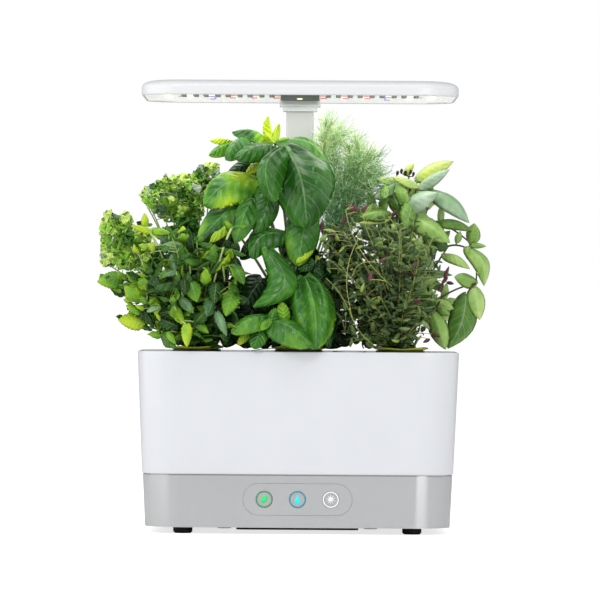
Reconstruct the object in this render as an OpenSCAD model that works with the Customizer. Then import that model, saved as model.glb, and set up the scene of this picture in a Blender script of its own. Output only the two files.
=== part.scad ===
// A countertop garden: a water bowl on a base with three buttons, a deck with
// six herb pods, and a lamp hood on a telescoping arm behind the plants.
// Millimetres. The origin is on the floor under the middle of the garden,
// +Z is up and the buttons face -Y.

/* [Bowl] */
// Width of the water bowl at its rim
pot_w = 267; // [255:1:300]
// Depth of the water bowl at its rim
pot_d = 165; // [160:1:190]
// Height of the water bowl
pot_h = 101.7; // [95:0.1:130]
// How far each bowl wall leans in between rim and floor
pot_lean = 4.3; // [2:0.1:6]
// Corner radius of the bowl, seen from above
pot_r = 32; // [24:1:38]
// Wall of the bowl
pot_wall = 2.4; // [1.6:0.1:3.2]
// Floor of the bowl
pot_floor = 2.6; // [1.8:0.1:4]
// Thickness of the ribs that carry the deck
rib_t = 2; // [1.5:0.1:3]

/* [Base] */
// Height of the base band
base_h = 43; // [40:1:60]
// How far the ends of the base lean in between top and bottom
base_lean = 2; // [0:0.1:3]
// Wall of the base
base_wall = 2.6; // [2:0.1:3.4]
// How far the base stands back from the bowl's floor edge
base_step = 0.5; // [0:0.1:1.5]
// Shadow gap between base and bowl
seam = 0.8; // [0.5:0.1:1.5]
// Thickness of the cover under the base
cover_t = 2.4; // [2:0.1:3]
// Width of the sunk pan under the base
pan_w = 102; // [80:1:110]
// Depth of the sunk pan under the base
pan_d = 60; // [40:1:70]
// How far the feet stand below the base
foot_h = 5.5; // [4.5:0.1:8]
// Radius of a front foot
front_foot_r = 8; // [6:0.1:9]
// Radius of a rear foot
rear_foot_r = 7; // [5:0.1:8]
// Distance of a front foot from the middle
front_foot_x = 95; // [85:1:98]
// Distance of a rear foot from the middle
rear_foot_x = 62; // [60:1:70]
// How far the front feet stand behind the base's front
front_foot_in = 22.5; // [18:0.5:26]
// How far the rear feet stand in front of the base's rear
rear_foot_in = 27.5; // [24:0.5:32]

/* [Buttons] */
// Width of the pill-shaped bezel
bezel_w = 90; // [86:1:100]
// Height of the bezel
bezel_h = 26; // [22:1:28]
// Thickness of the bezel
bezel_t = 1.4; // [1:0.1:1.8]
// Height of the bezel's middle above the floor
bezel_z = 29; // [26:0.5:32]
// Radius of a button cap
button_r = 6.8; // [6:0.1:7.5]
// Distance between two buttons
button_pitch = 27.5; // [24:0.5:30]
// How far a button moves when pressed
button_travel = 0.8; // [0.5:0.1:1]

/* [Deck and pods] */
// Thickness of the deck
deck_t = 2.4; // [1.8:0.1:3]
// How far the deck lies below the bowl's rim
deck_drop = 0.6; // [0.2:0.1:2]
// Distance between two pods in a row
pod_pitch = 85; // [80:1:88]
// Place of the front row of pods, front to back
front_row = -46; // [-50:1:-42]
// Place of the rear row of pods, front to back
rear_row = 8; // [4:1:12]
// Radius of a pod basket under its flange
basket_r = 17; // [15:0.5:19]
// Length of a pod basket
basket_h = 60; // [45:1:70]
// Wall of a pod basket
basket_wall = 1.2; // [1:0.1:2]
// Width of the rim around a basket
basket_flange = 3; // [2:0.5:4]
// Radius of a pod label
label_r = 23; // [21:0.5:25]
// Radius of the fill port
port_r = 12; // [9:0.5:14]

/* [Lamp arm] */
// Width of the sliding mast
mast_w = 23.3; // [20:0.1:26]
// Depth of the sliding mast
mast_d = 16; // [14:0.1:18]
// Wall of the mast
mast_wall = 2; // [1.5:0.1:3]
// How far the arm stands in from the bowl's rear edge
arm_inset = 27.5; // [26:0.5:29]
// Wall of the fixed column
column_wall = 2.2; // [1.8:0.1:3]
// Gap between mast and column, bridged by the bush and the glide
column_gap = 1.5; // [1.2:0.1:2]
// Height of the fixed column above the bowl's rim
column_rise = 64; // [50:1:80]
// How far the mast rises from the height shown
arm_travel = 93; // [60:1:94]
// Length of the bush in the column's mouth
bush_h = 18; // [12:1:22]
// Length of the glide at the mast's foot
glide_h = 20; // [12:1:24]

/* [Hood] */
// Width of the lamp hood
hood_w = 262.5; // [240:0.5:290]
// Depth of the lamp hood
hood_d = 205; // [195:1:215]
// Height of the lamp hood
hood_h = 12.7; // [12:0.1:16]
// Corner radius of the hood, seen from above
hood_r = 35; // [24:1:45]
// Rounding of the hood's top edge
hood_edge = 3.5; // [1:0.1:4.5]
// Wall of the hood
hood_wall = 2.2; // [1.8:0.1:3]
// Height of the lamp above the bowl's rim, as shown
lamp_rise = 211.2; // [205:0.1:240]
// Thickness of the lamp board
board_t = 1.6; // [1.2:0.1:2]
// How far the lamp board lies above the hood's lower edge
board_up = 4.4; // [4:0.1:5]
// Side of one light emitter
emitter_w = 5; // [3.5:0.1:6]
// Height of one light emitter
emitter_h = 2.4; // [1:0.1:2.6]
// Distance between two columns of emitters
emitter_pitch = 18.4; // [15:0.1:19]
// Width of the spine under the lamp board
spine_w = 32; // [30:1:36]
// How far the outer rows of emitters lie in from the hood's edges
row_inset = 30; // [24:1:34]
// Distance of a clear post from the middle
clear_post_x = 90; // [84:1:96]

/* [Hidden] */

// Clearances and small thicknesses
fit = 0.3;
snug = 0.1;
thin = 0.01;
round_fn = 48;

// Heights, from the floor up
base_z = foot_h;
base_top = base_z + base_h;
cover_z = base_z + 0.5;
cover_top = cover_z + cover_t;
top_t = 2.4;
pot_z = base_top + seam;
pot_top = pot_z + pot_h;
deck_top = pot_top - deck_drop;
deck_z = deck_top - deck_t;
floor_top = pot_z + pot_floor;
column_top = pot_top + column_rise;
hood_z = pot_top + lamp_rise;
hood_top = hood_z + hood_h;
board_z = hood_z + board_up;

// Plan sizes
arm_y = pot_d / 2 - arm_inset;
base_w = pot_w - 2 * pot_lean - 2 * base_step;
base_d = pot_d - 2 * pot_lean - 2 * base_step;
base_r = pot_r;
front_y = -base_d / 2;
column_in = [mast_w + 2 * column_gap, mast_d + 2 * column_gap];
column_out = [column_in[0] + 2 * column_wall, column_in[1] + 2 * column_wall];
tower_wall = 4;
tower_w = column_out[0] + 2 * tower_wall;
notch_w = tower_w + 4 * fit;
notch_y = arm_y - column_out[1] / 2 - tower_wall + 1;
tower_y0 = notch_y + 2 * fit;
tower_y1 = base_d / 2;

// The bowl's width at a height above its floor, less its lean
function pot_size(full, z) = full - 2 * pot_lean * (1 - z / pot_h);

// Pods: front row from left to right, then the rear row
pods = [
    for (y = [front_row, rear_row], x = [-pod_pitch, 0, pod_pitch]) [x, y]
];
label_hole_r = 7;
flange_t = 1.6;
label_z = deck_top + flange_t;

// Places between the pods
between = pod_pitch / 2;
pump_xy = [-between, (front_row + rear_row) / 2];
float_xy = [between, rear_row];
port_xy = [between, front_row];

// ---------------------------------------------------------------- shapes

// A flat rounded rectangle
module rounded(w, d, r) {
    square([w - 2 * r, d], center = true);
    square([w, d - 2 * r], center = true);
    for (x = [-1, 1], y = [-1, 1])
        translate([x * (w / 2 - r), y * (d / 2 - r)])
            circle(r, $fn = round_fn);
}

// A rounded plate or post standing on z = 0
module plate(w, d, r, h) {
    linear_extrude(h) rounded(w, d, r);
}

// A rounded block that is one size at its foot and another at its top
module leaning_block(foot, top, r, h) {
    hull() {
        plate(foot[0], foot[1], r, thin);
        translate([0, 0, h - thin]) plate(top[0], top[1], r, thin);
    }
}

// A round bar along +Y from the front of the base
module from_front(x, z, y0, y1, r) {
    translate([x, front_y + y0, z])
        rotate([-90, 0, 0]) cylinder(r = r, h = y1 - y0, $fn = round_fn);
}

// A rounded tube around the arm
module arm_tube(out, wall, r, z0, z1) {
    translate([0, arm_y, z0])
        difference() {
            plate(out[0], out[1], r, z1 - z0);
            translate([0, 0, -1])
                plate(out[0] - 2 * wall, out[1] - 2 * wall, max(r - wall, 0.5), z1 - z0 + 2);
        }
}

// ---------------------------------------------------------------- base

boss_x = base_w / 2 - 17;
boss_y = 30;
boss_r = 4;
screw_r = 1.5;
screw_sites = [for (x = [-boss_x, boss_x], y = [-boss_y, boss_y]) [x, y]];
screw_l = 12;
head_r = 2.8;
head_h = 1.6;
post_x = bezel_w / 2 + 5;
board_y = 12;
inlet_x = 80;
inlet_up = 15;
inlet_xy = [inlet_x, base_d / 2];
inlet_z = base_z + inlet_up;
inlet_r = 4.4;
motor_r = 16;
motor_h = 22;

module base_shell() {
    foot = [base_w - 2 * base_lean, base_d];
    inner_h = base_h - top_t;
    color("silver")
    difference() {
        union() {
            translate([0, 0, base_z])
                difference() {
                    leaning_block(foot, [base_w, base_d], base_r, base_h);
                    translate([0, 0, -thin])
                        leaning_block(
                            [foot[0] - 2 * base_wall, foot[1] - 2 * base_wall],
                            [base_w - 2 * base_wall, base_d - 2 * base_wall],
                            base_r - base_wall, inner_h + thin);
                }
            // The raised floor that carries the bowl
            translate([0, 0, base_top - thin])
                plate(base_w - 6, base_d - 6, base_r - 3, seam + thin);
            // Screw bosses for the cover
            for (p = screw_sites)
                translate([p[0], p[1], cover_top])
                    cylinder(r = boss_r, h = base_top - top_t - cover_top + thin, $fn = round_fn);
            // Posts for the control board
            for (x = [-post_x, post_x])
                from_front(x, bezel_z, base_wall - thin, board_y, 3);
        }
        // Pocket for the bezel and holes for the buttons
        translate([0, front_y + bezel_t, bezel_z])
            rotate([90, 0, 0])
                plate(bezel_w + 2 * fit, bezel_h + 2 * fit, bezel_h / 2 + fit - 0.01, 5);
        for (i = [-1 : 1])
            from_front(i * button_pitch, bezel_z, -1, base_wall + 1, button_r + fit);
        // Hole for the power inlet
        translate([inlet_xy[0], inlet_xy[1] - 2 * base_wall, inlet_z])
            rotate([-90, 0, 0]) cylinder(r = inlet_r + snug, h = 4 * base_wall, $fn = round_fn);
        // Hole for the column
        translate([0, arm_y, base_top - top_t - 1])
            plate(column_out[0] + 2 * fit, column_out[1] + 2 * fit, 3 + fit, top_t + seam + 2);
        for (p = screw_sites)
            translate([p[0], p[1], cover_top - 1])
                cylinder(r = screw_r + snug / 2, h = screw_l + 2, $fn = round_fn);
    }
}

pan_z = 2;
pan_t = 2;
socket_t = 2;
socket_h = 10;

module bottom_cover() {
    pan_h = cover_z - pan_z;
    outer = [base_w - 2 * base_lean - 2 * base_wall, base_d - 2 * base_wall];
    color("dimgray")
    difference() {
        union() {
            translate([0, 0, cover_z])
                plate(outer[0] - 2 * fit, outer[1] - 2 * fit, base_r - base_wall - fit, cover_t);
            translate([0, 0, pan_z]) plate(pan_w, pan_d, 6, pan_h + thin);
            // Socket for the column's foot
            arm_tube([column_out[0] + 2 * (fit + socket_t), column_out[1] + 2 * (fit + socket_t)],
                     socket_t, 5, cover_top - thin, cover_top + socket_h);
        }
        // The pan is hollow from above
        translate([0, 0, pan_z + pan_t])
            plate(pan_w - 2 * pan_t, pan_d - 2 * pan_t, 4, pan_h + cover_t);
        for (p = screw_sites)
            translate([p[0], p[1], cover_z - 1])
                cylinder(r = screw_r + fit, h = cover_t + 2, $fn = round_fn);
    }
}

// A rubber foot with a chamfered lower edge
module foot(x, y, r) {
    edge = 1.4;
    translate([x, y, 0])
        rotate_extrude($fn = round_fn)
            polygon([[0, 0], [r - edge, 0], [r, edge], [r, cover_z], [0, cover_z]]);
}

module front_feet() {
    color([0.08, 0.08, 0.08])
        for (s = [-1, 1]) foot(s * front_foot_x, front_foot_in - base_d / 2, front_foot_r);
}

module rear_feet() {
    color([0.08, 0.08, 0.08])
        for (s = [-1, 1]) foot(s * rear_foot_x, base_d / 2 - rear_foot_in, rear_foot_r);
}

module base_screws() {
    color("silver")
        for (p = screw_sites)
            translate([p[0], p[1], cover_z - head_h]) {
                cylinder(r = head_r, h = head_h, $fn = round_fn);
                cylinder(r = screw_r, h = head_h + screw_l, $fn = round_fn);
            }
}

// A barrel socket with a centre pin, open to the rear
module power_inlet() {
    barrel_r = 3;
    pin_r = 1.05;
    depth = 9;
    body = [13, 10, 11];
    color([0.12, 0.12, 0.12])
    translate([inlet_xy[0], inlet_xy[1], inlet_z]) {
        difference() {
            union() {
                translate([-body[0] / 2, -base_wall - snug - body[1], -body[2] / 2]) cube(body);
                translate([0, -base_wall - 1, 0])
                    rotate([-90, 0, 0]) cylinder(r = inlet_r, h = base_wall + 1, $fn = round_fn);
            }
            translate([0, -depth, 0])
                rotate([-90, 0, 0]) cylinder(r = barrel_r, h = depth + 1, $fn = round_fn);
        }
        translate([0, -depth - 1, 0])
            rotate([-90, 0, 0]) cylinder(r = pin_r, h = depth, $fn = round_fn);
    }
}

module control_board() {
    color("darkgreen")
        translate([0, front_y + board_y + board_t, bezel_z])
            rotate([90, 0, 0]) plate(2 * post_x + 10, bezel_h, 2, board_t);
}

switch_w = 6;
switch_h = 2;
plunger_h = 1;

module tact_switches() {
    color("black")
        for (i = [-1 : 1]) {
            translate([i * button_pitch - switch_w / 2, front_y + board_y - switch_h, bezel_z - switch_w / 2])
                cube([switch_w, switch_h, switch_w]);
            from_front(i * button_pitch, bezel_z, board_y - switch_h - plunger_h, board_y - switch_h, 1.5);
        }
}

module indicator_lights() {
    color("white")
        for (i = [-1 : 1])
            from_front(i * button_pitch, bezel_z - switch_w / 2 - 3, board_y - 2, board_y, 1.5);
}

module panel_bezel() {
    color("silver")
    difference() {
        translate([0, front_y + bezel_t, bezel_z])
            rotate([90, 0, 0]) plate(bezel_w, bezel_h, bezel_h / 2 - 0.01, bezel_t);
        for (i = [-1 : 1])
            from_front(i * button_pitch, bezel_z, -1, bezel_t + 1, button_r + fit);
    }
}

// A button cap with a retaining flange and a stem that meets its switch
module button(i, shade) {
    flange_y = base_wall + fit;
    stem_end = board_y - switch_h - plunger_h - button_travel - 0.2;
    color(shade) {
        from_front(i * button_pitch, bezel_z, 0, flange_y + thin, button_r);
        from_front(i * button_pitch, bezel_z, flange_y, flange_y + 1.2, button_r + 1.4);
        from_front(i * button_pitch, bezel_z, flange_y + 1.2 - thin, stem_end, 2);
    }
}

module feed_button() {
    button(-1, "mediumseagreen");
}

module water_button() {
    button(0, "deepskyblue");
}

module light_button() {
    button(1, "white");
}

// The coil that turns the pump's magnet through the bowl's floor
module pump_motor() {
    color("dimgray")
        translate([pump_xy[0], pump_xy[1], base_top - top_t - motor_h])
            difference() {
                union() {
                    cylinder(r = motor_r, h = motor_h, $fn = round_fn);
                    translate([0, 0, motor_h - 3]) plate(2 * motor_r + 16, 12, 5, 3);
                }
                translate([0, 0, -1]) cylinder(r = 4, h = motor_h - 4, $fn = round_fn);
                for (s = [-1, 1])
                    translate([s * (motor_r + 3.5), 0, -1])
                        cylinder(r = 1.6, h = motor_h + 2, $fn = round_fn);
            }
}

// ---------------------------------------------------------------- arm

module arm_tower() {
    h = pot_top - 6 - pot_z;
    tower_d = tower_y1 - tower_y0;
    color("gainsboro")
    difference() {
        translate([0, (tower_y0 + tower_y1) / 2, pot_z]) plate(tower_w, tower_d, 3, h);
        translate([0, arm_y, pot_z - 1])
            plate(column_out[0] + 2 * fit, column_out[1] + 2 * fit, 3 + fit, h + 2);
    }
}

module column() {
    color("lightgray") arm_tube(column_out, column_wall, 3, cover_top, column_top);
}

// Lines the column's mouth, guides the mast and caps the column
module column_bush() {
    lip = 1.4;
    bore = [mast_w + 2 * fit, mast_d + 2 * fit];
    color("gray")
    translate([0, arm_y, 0])
    difference() {
        union() {
            translate([0, 0, column_top])
                plate(column_out[0] + 1, column_out[1] + 1, 3.5, lip);
            translate([0, 0, column_top - bush_h])
                plate(column_in[0] - 2 * snug, column_in[1] - 2 * snug, 1, bush_h + thin);
        }
        translate([0, 0, column_top - bush_h - 1]) plate(bore[0], bore[1], 1.5, bush_h + lip + 2);
    }
}

mast_z = column_top - bush_h - glide_h - arm_travel - 4;
mast_top = board_z - 1;
mast_r = 2;

module mast() {
    color("lightgray") arm_tube([mast_w, mast_d], mast_wall, mast_r, mast_z, mast_top);
}

// A block on the mast's foot that runs inside the column
module mast_glide() {
    out = [column_in[0] - 2 * fit, column_in[1] - 2 * fit];
    color("gray")
    translate([0, arm_y, mast_z])
    difference() {
        plate(out[0], out[1], 0.8, glide_h);
        translate([0, 0, -1]) plate(mast_w, mast_d, mast_r, glide_h + 2);
    }
}

// ---------------------------------------------------------------- bowl

pot_foot = [pot_w - 2 * pot_lean, pot_d - 2 * pot_lean];
rod_r = 2.5;
float_r = 13;
float_h = 18;
float_boss = 3;
shaft_r = 1;
shaft_h = 16;
shaft_sunk = 1.2;

// The notch at the rear in which the arm stands, grown by a margin
module notch(margin, z0, z1) {
    translate([-notch_w / 2 - margin, notch_y - margin, z0])
        cube([notch_w + 2 * margin, pot_d, z1 - z0]);
}

// Ribs on the long and short walls, up to the underside of the deck
module deck_ribs() {
    reach = 1.5;
    inner_x = pot_foot[0] / 2 - pot_wall - reach;
    inner_y = pot_foot[1] / 2 - pot_wall - reach;
    for (x = [-pod_pitch / 2, pod_pitch / 2], s = [-1, 1])
        translate([x - rib_t / 2, s > 0 ? inner_y : -inner_y - 20, floor_top - 1])
            cube([rib_t, 20, deck_z - floor_top + 1]);
    for (s = [-1, 1])
        translate([s > 0 ? inner_x : -inner_x - 20, -rib_t / 2, floor_top - 1])
            cube([20, rib_t, deck_z - floor_top + 1]);
}

module bowl() {
    wet_foot = [pot_foot[0] - 2 * pot_wall, pot_foot[1] - 2 * pot_wall];
    wet_h = pot_h - pot_floor;
    color("white")
    difference() {
        union() {
            difference() {
                translate([0, 0, pot_z]) leaning_block(pot_foot, [pot_w, pot_d], pot_r, pot_h);
                difference() {
                    translate([0, 0, floor_top])
                        leaning_block(wet_foot, [pot_w - 2 * pot_wall, pot_d - 2 * pot_wall],
                                      pot_r - pot_wall, wet_h + thin);
                    notch(pot_wall, pot_z, pot_top + 1);
                    deck_ribs();
                }
            }
            // Stop under the float
            translate([float_xy[0], float_xy[1], floor_top - thin])
                cylinder(r = 5, h = float_boss + thin, $fn = round_fn);
        }
        notch(0, pot_z - 1, pot_top + 1);
        translate([float_xy[0], float_xy[1], floor_top + 0.5])
            cylinder(r = rod_r + snug / 2, h = float_boss + 1, $fn = round_fn);
        translate([pump_xy[0], pump_xy[1], floor_top - shaft_sunk])
            cylinder(r = shaft_r + snug / 2, h = pot_floor, $fn = round_fn);
    }
}

module pump_shaft() {
    color("silver")
        translate([pump_xy[0], pump_xy[1], floor_top - shaft_sunk])
            cylinder(r = shaft_r, h = shaft_sunk + shaft_h, $fn = round_fn);
}

rotor_gap = 0.6;
magnet_r = 11;
magnet_h = 7;
blade_h = 4;
cover_r = 14;
cover_wall = 1.6;

// A magnet disc with six pump blades on it
module pump_rotor() {
    color("midnightblue")
        translate([pump_xy[0], pump_xy[1], floor_top + rotor_gap])
            difference() {
                union() {
                    cylinder(r = magnet_r, h = magnet_h, $fn = round_fn);
                    cylinder(r = 3, h = magnet_h + blade_h, $fn = round_fn);
                    for (a = [0 : 60 : 300])
                        rotate(a) translate([2, -0.6, magnet_h - thin]) cube([8, 1.2, blade_h]);
                }
                translate([0, 0, -1])
                    cylinder(r = shaft_r + 0.05, h = magnet_h + blade_h + 2, $fn = round_fn);
            }
}

pump_cover_h = shaft_h + 1.5;
riser_off = 8;
riser_r = 3;

// A cup over the rotor, with side inlets and a spout for the riser
module pump_cover() {
    top = 2.6;
    color("darkslategray")
        translate([pump_xy[0], pump_xy[1], floor_top])
            difference() {
                union() {
                    cylinder(r = cover_r, h = pump_cover_h, $fn = round_fn);
                    translate([riser_off, 0, 0])
                        cylinder(r = riser_r + 1.5, h = pump_cover_h + 4, $fn = round_fn);
                }
                difference() {
                    translate([0, 0, -1])
                        cylinder(r = cover_r - cover_wall, h = pump_cover_h - top + 1, $fn = round_fn);
                    translate([0, 0, magnet_h + blade_h + 2 * rotor_gap])
                        cylinder(r = 3, h = pump_cover_h, $fn = round_fn);
                }
                translate([0, 0, -1])
                    cylinder(r = shaft_r + snug / 2, h = shaft_h + 1 + snug, $fn = round_fn);
                translate([riser_off, 0, pump_cover_h]) cylinder(r = riser_r + snug, h = 5, $fn = round_fn);
                translate([riser_off, 0, pump_cover_h - top - 1]) cylinder(r = 1.8, h = 5, $fn = round_fn);
                for (a = [45 : 90 : 315])
                    rotate(a) translate([cover_r - 4, -3, 2]) cube([8, 6, 5]);
            }
}

// A ring of open foam round the pump cover
module pump_filter() {
    filter_t = 5;
    filter_h = 12;
    color("black")
        translate([pump_xy[0], pump_xy[1], floor_top])
            difference() {
                cylinder(r = cover_r + filter_t, h = filter_h, $fn = round_fn);
                translate([0, 0, -1]) cylinder(r = cover_r + snug, h = filter_h + 2, $fn = round_fn);
            }
}

module riser_tube() {
    z0 = floor_top + pump_cover_h;
    color("lightgray")
        translate([pump_xy[0] + riser_off, pump_xy[1], z0])
            difference() {
                cylinder(r = riser_r, h = deck_z - z0, $fn = round_fn);
                translate([0, 0, -1]) cylinder(r = riser_r - 1, h = deck_z - z0 + 2, $fn = round_fn);
            }
}

module float_rod() {
    color("white")
        translate([float_xy[0], float_xy[1], floor_top + 0.5])
            cylinder(r = rod_r, h = deck_z - floor_top - 0.5, $fn = round_fn);
}

module level_float() {
    edge = 2;
    z0 = floor_top + float_boss + fit;
    bore = rod_r + fit;
    color("orangered")
        translate([float_xy[0], float_xy[1], z0])
            rotate_extrude($fn = round_fn)
                polygon([
                    [bore, 0], [float_r - edge, 0], [float_r, edge],
                    [float_r, float_h - edge], [float_r - edge, float_h], [bore, float_h]
                ]);
}

// ---------------------------------------------------------------- deck and pods

module grow_deck() {
    z = deck_z - pot_z;
    w = pot_size(pot_w, z) - 2 * pot_wall - 2 * fit;
    d = pot_size(pot_d, z) - 2 * pot_wall - 2 * fit;
    color("whitesmoke")
    difference() {
        union() {
            translate([0, 0, deck_z]) plate(w, d, pot_r - pot_wall - fit, deck_t);
            // Raised lip of the fill port
            translate([port_xy[0], port_xy[1], deck_top - thin])
                cylinder(r = port_r + 1.6, h = 1.2, $fn = round_fn);
        }
        notch(pot_wall + fit, deck_z - 1, pot_top);
        for (p = pods)
            translate([p[0], p[1], deck_z - 1])
                cylinder(r = basket_r + fit, h = deck_t + 2, $fn = round_fn);
        translate([port_xy[0], port_xy[1], deck_z - 1])
            cylinder(r = port_r, h = deck_t + 4, $fn = round_fn);
    }
}

// A tapered cup with a flange on the deck and slots for the roots
module basket(i) {
    p = pods[i - 1];
    tip_r = basket_r * 0.66;
    color("black")
    translate([p[0], p[1], 0])
    difference() {
        rotate_extrude($fn = round_fn)
            polygon([
                [0, deck_top - basket_h], [tip_r, deck_top - basket_h],
                [basket_r, deck_top - deck_t - 4], [basket_r, deck_top],
                [basket_r + basket_flange, deck_top],
                [basket_r + basket_flange, deck_top + flange_t],
                [basket_r - basket_wall, deck_top + flange_t],
                [basket_r - basket_wall, deck_top - deck_t - 4],
                [tip_r - basket_wall, deck_top - basket_h + basket_wall],
                [0, deck_top - basket_h + basket_wall]
            ]);
        for (a = [0 : 60 : 300])
            rotate(a) translate([6, -1.5, deck_top - basket_h + 5])
                cube([basket_r, 3, basket_h * 0.5]);
    }
}

// A round label that lies on the flange and curls up at its edge
module label(i) {
    p = pods[i - 1];
    t = 0.5;
    curl = 3;
    flat_r = label_r - 5;
    color("yellowgreen")
        translate([p[0], p[1], label_z])
            rotate_extrude($fn = round_fn)
                polygon([
                    [label_hole_r, 0], [flat_r, 0], [label_r, curl],
                    [label_r, curl + t], [flat_r, t], [label_hole_r, t]
                ]);
}

module grow_sponges() {
    inset = basket_wall + fit;
    tip_r = basket_r * 0.66;
    color("saddlebrown")
        for (p = pods)
            translate([p[0], p[1], 0])
                rotate_extrude($fn = round_fn)
                    polygon([
                        [0, deck_top - basket_h + basket_wall],
                        [tip_r - inset, deck_top - basket_h + basket_wall],
                        [basket_r - inset, deck_top - deck_t - 4],
                        [basket_r - inset, deck_top + flange_t - 0.4],
                        [0, deck_top + flange_t - 0.4]
                    ]);
}

// ---------------------------------------------------------------- hood

cavity = [hood_w - 2 * hood_wall, hood_d - 2 * hood_wall];
cavity_r = hood_r - hood_wall;
cavity_top = hood_top - 2;
socket = [mast_w + 11.2, mast_d + 11.2];
ring = [mast_w + 5.7, mast_d + 5.7];

// Emitters lie on a grid under the board, and the four screws of the board
// lie midway between them
emitter_rows = 6;
emitter_cols = 6;
row_pitch = (hood_d - 2 * row_inset) / (emitter_rows - 1);
function column_x(col) = spine_w / 2 + emitter_w / 2 + fit + (col - 1) * emitter_pitch;
function row_y(row) = row_inset - hood_d / 2 + row * row_pitch;
screw_x = column_x(emitter_cols - 0.5);
screw_y = row_y(emitter_rows - 1.5);
hood_screws = [for (x = [-1, 1], y = [-1, 1]) [x * screw_x, y * screw_y]];

// The white top and rim of the lamp, with four screw bosses
module hood_cover() {
    color("white")
    difference() {
        union() {
            difference() {
                union() {
                    translate([0, 0, hood_z]) plate(hood_w, hood_d, hood_r, hood_h - hood_edge);
                    translate([0, 0, hood_top - hood_edge - thin])
                        leaning_block([hood_w, hood_d],
                                      [hood_w - 2 * hood_edge, hood_d - 2 * hood_edge],
                                      hood_r - hood_edge, hood_edge + thin);
                }
                translate([0, 0, hood_z - 1])
                    plate(cavity[0], cavity[1], cavity_r, cavity_top - hood_z + 1);
            }
            for (p = hood_screws)
                translate([p[0], p[1], board_z + board_t])
                    cylinder(r = 3.5, h = cavity_top - board_z - board_t + thin, $fn = round_fn);
        }
        for (p = hood_screws)
            translate([p[0], p[1], board_z + board_t - 1])
                cylinder(r = 1 + snug / 2, h = 4.6, $fn = round_fn);
    }
}

// A white frame that slopes from the rim up to the lamp board
module hood_reflector() {
    slope = 12;
    h = board_up - 0.6;
    outer = [cavity[0] - 2 * snug, cavity[1] - 2 * snug];
    color("whitesmoke")
        translate([0, 0, board_z - h])
            difference() {
                plate(outer[0], outer[1], cavity_r - snug, h);
                translate([0, 0, -thin])
                    leaning_block([outer[0] - 3, outer[1] - 3],
                                  [outer[0] - 2 * slope, outer[1] - 2 * slope],
                                  cavity_r - slope, h + 2 * thin);
            }
}

module lamp_board() {
    color("white")
    difference() {
        translate([0, 0, board_z])
            plate(cavity[0] - 2 * snug, cavity[1] - 2 * snug, cavity_r - snug, board_t);
        translate([0, arm_y, board_z - 1])
            plate(socket[0] + 2 * snug, socket[1] + 2 * snug, 3 + snug, board_t + 2);
        for (p = hood_screws)
            translate([p[0], p[1], board_z - 1])
                cylinder(r = 1 + fit, h = board_t + 2, $fn = round_fn);
    }
}

module board_screws() {
    color("silver")
        for (p = hood_screws)
            translate([p[0], p[1], board_z - 0.8]) {
                cylinder(r = 2, h = 0.8, $fn = round_fn);
                cylinder(r = 1, h = board_t + 4, $fn = round_fn);
            }
}

// The block that joins the mast to the hood
module hood_socket() {
    z0 = hood_z - 4.5;
    color("whitesmoke")
        translate([0, arm_y, z0])
            difference() {
                plate(socket[0], socket[1], 3, cavity_top - z0);
                translate([0, 0, -1])
                    plate(mast_w + 2 * snug, mast_d + 2 * snug, mast_r + snug, mast_top - z0 + 1);
            }
}

// A smaller collar under the socket
module neck_ring() {
    h = 4;
    color("gainsboro")
        translate([0, arm_y, hood_z - 4.5 - h])
            difference() {
                plate(ring[0], ring[1], 3, h);
                translate([0, 0, -1]) plate(mast_w + 2 * snug, mast_d + 2 * snug, mast_r + snug, h + 2);
            }
}

// The grey cover along the middle of the lamp board, in front of the neck
module hood_spine() {
    y0 = -hood_d / 2 + 14;
    y1 = arm_y - socket[1] / 2 - fit;
    h = board_up - 0.2;
    color("dimgray")
        translate([0, (y0 + y1) / 2, board_z - h]) plate(spine_w, y1 - y0, 3, h);
}

// Those of one colour are picked by their column, counted from the spine, and
// by their row.
function emitter_kind(col, row) =
    col == 4 && row % 2 == 1 ? "blue" :
    col <= 3 && row % 2 == 0 ? "red" : "white";

// A row beside the socket starts outside it
function row_shift(row) =
    abs(row_y(row) - arm_y) < (socket[1] + emitter_w) / 2 + fit
    ? max(0, (socket[0] - spine_w) / 2) : 0;

module emitters(kind) {
    for (row = [0 : emitter_rows - 1], col = [1 : emitter_cols], s = [-1, 1])
        if (emitter_kind(col, row) == kind)
            translate([s * (column_x(col) + row_shift(row)) - emitter_w / 2,
                       row_y(row) - emitter_w / 2,
                       board_z - emitter_h])
                cube([emitter_w, emitter_w, emitter_h]);
}

module white_emitters() {
    color("lightyellow") emitters("white");
}

module red_emitters() {
    color("hotpink") emitters("red");
}

module blue_emitters() {
    color("mediumpurple") emitters("blue");
}

clear_post_h = 3.6;

module clear_posts() {
    color("aliceblue")
        for (s = [-1, 1])
            translate([s * clear_post_x, row_inset - 10 - hood_d / 2, board_z - clear_post_h])
                cylinder(r = 2.4, h = clear_post_h, $fn = round_fn);
}

// ---------------------------------------------------------------- herbs

// The height of a leaf's middle at a share of its length: up by a quarter of
// the length, and down again by the droop
function arch(l, droop, share) = l * 0.25 * share - droop * share * share;

// Four points round a leaf: left edge, top, right edge and underside
function leaf_section(l, w, droop, t, share) = [
    [l * share, w / 2, arch(l, droop, share)],
    [l * share, 0, arch(l, droop, share) + t / 2],
    [l * share, -w / 2, arch(l, droop, share)],
    [l * share, 0, arch(l, droop, share) - t / 2]
];

// A small leaf along +X: one section between a pointed base and a pointed tip
module small_leaf(l, w, droop, t) {
    points = concat([[0, 0, 0]], leaf_section(l, w, droop, t, 0.45), [[l, 0, arch(l, droop, 1)]]);
    base_faces = [for (i = [0 : 3]) [0, 1 + i, 1 + (i + 1) % 4]];
    tip_faces = [for (i = [0 : 3]) [5, 1 + (i + 1) % 4, 1 + i]];
    polyhedron(points, concat(base_faces, tip_faces));
}

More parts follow.
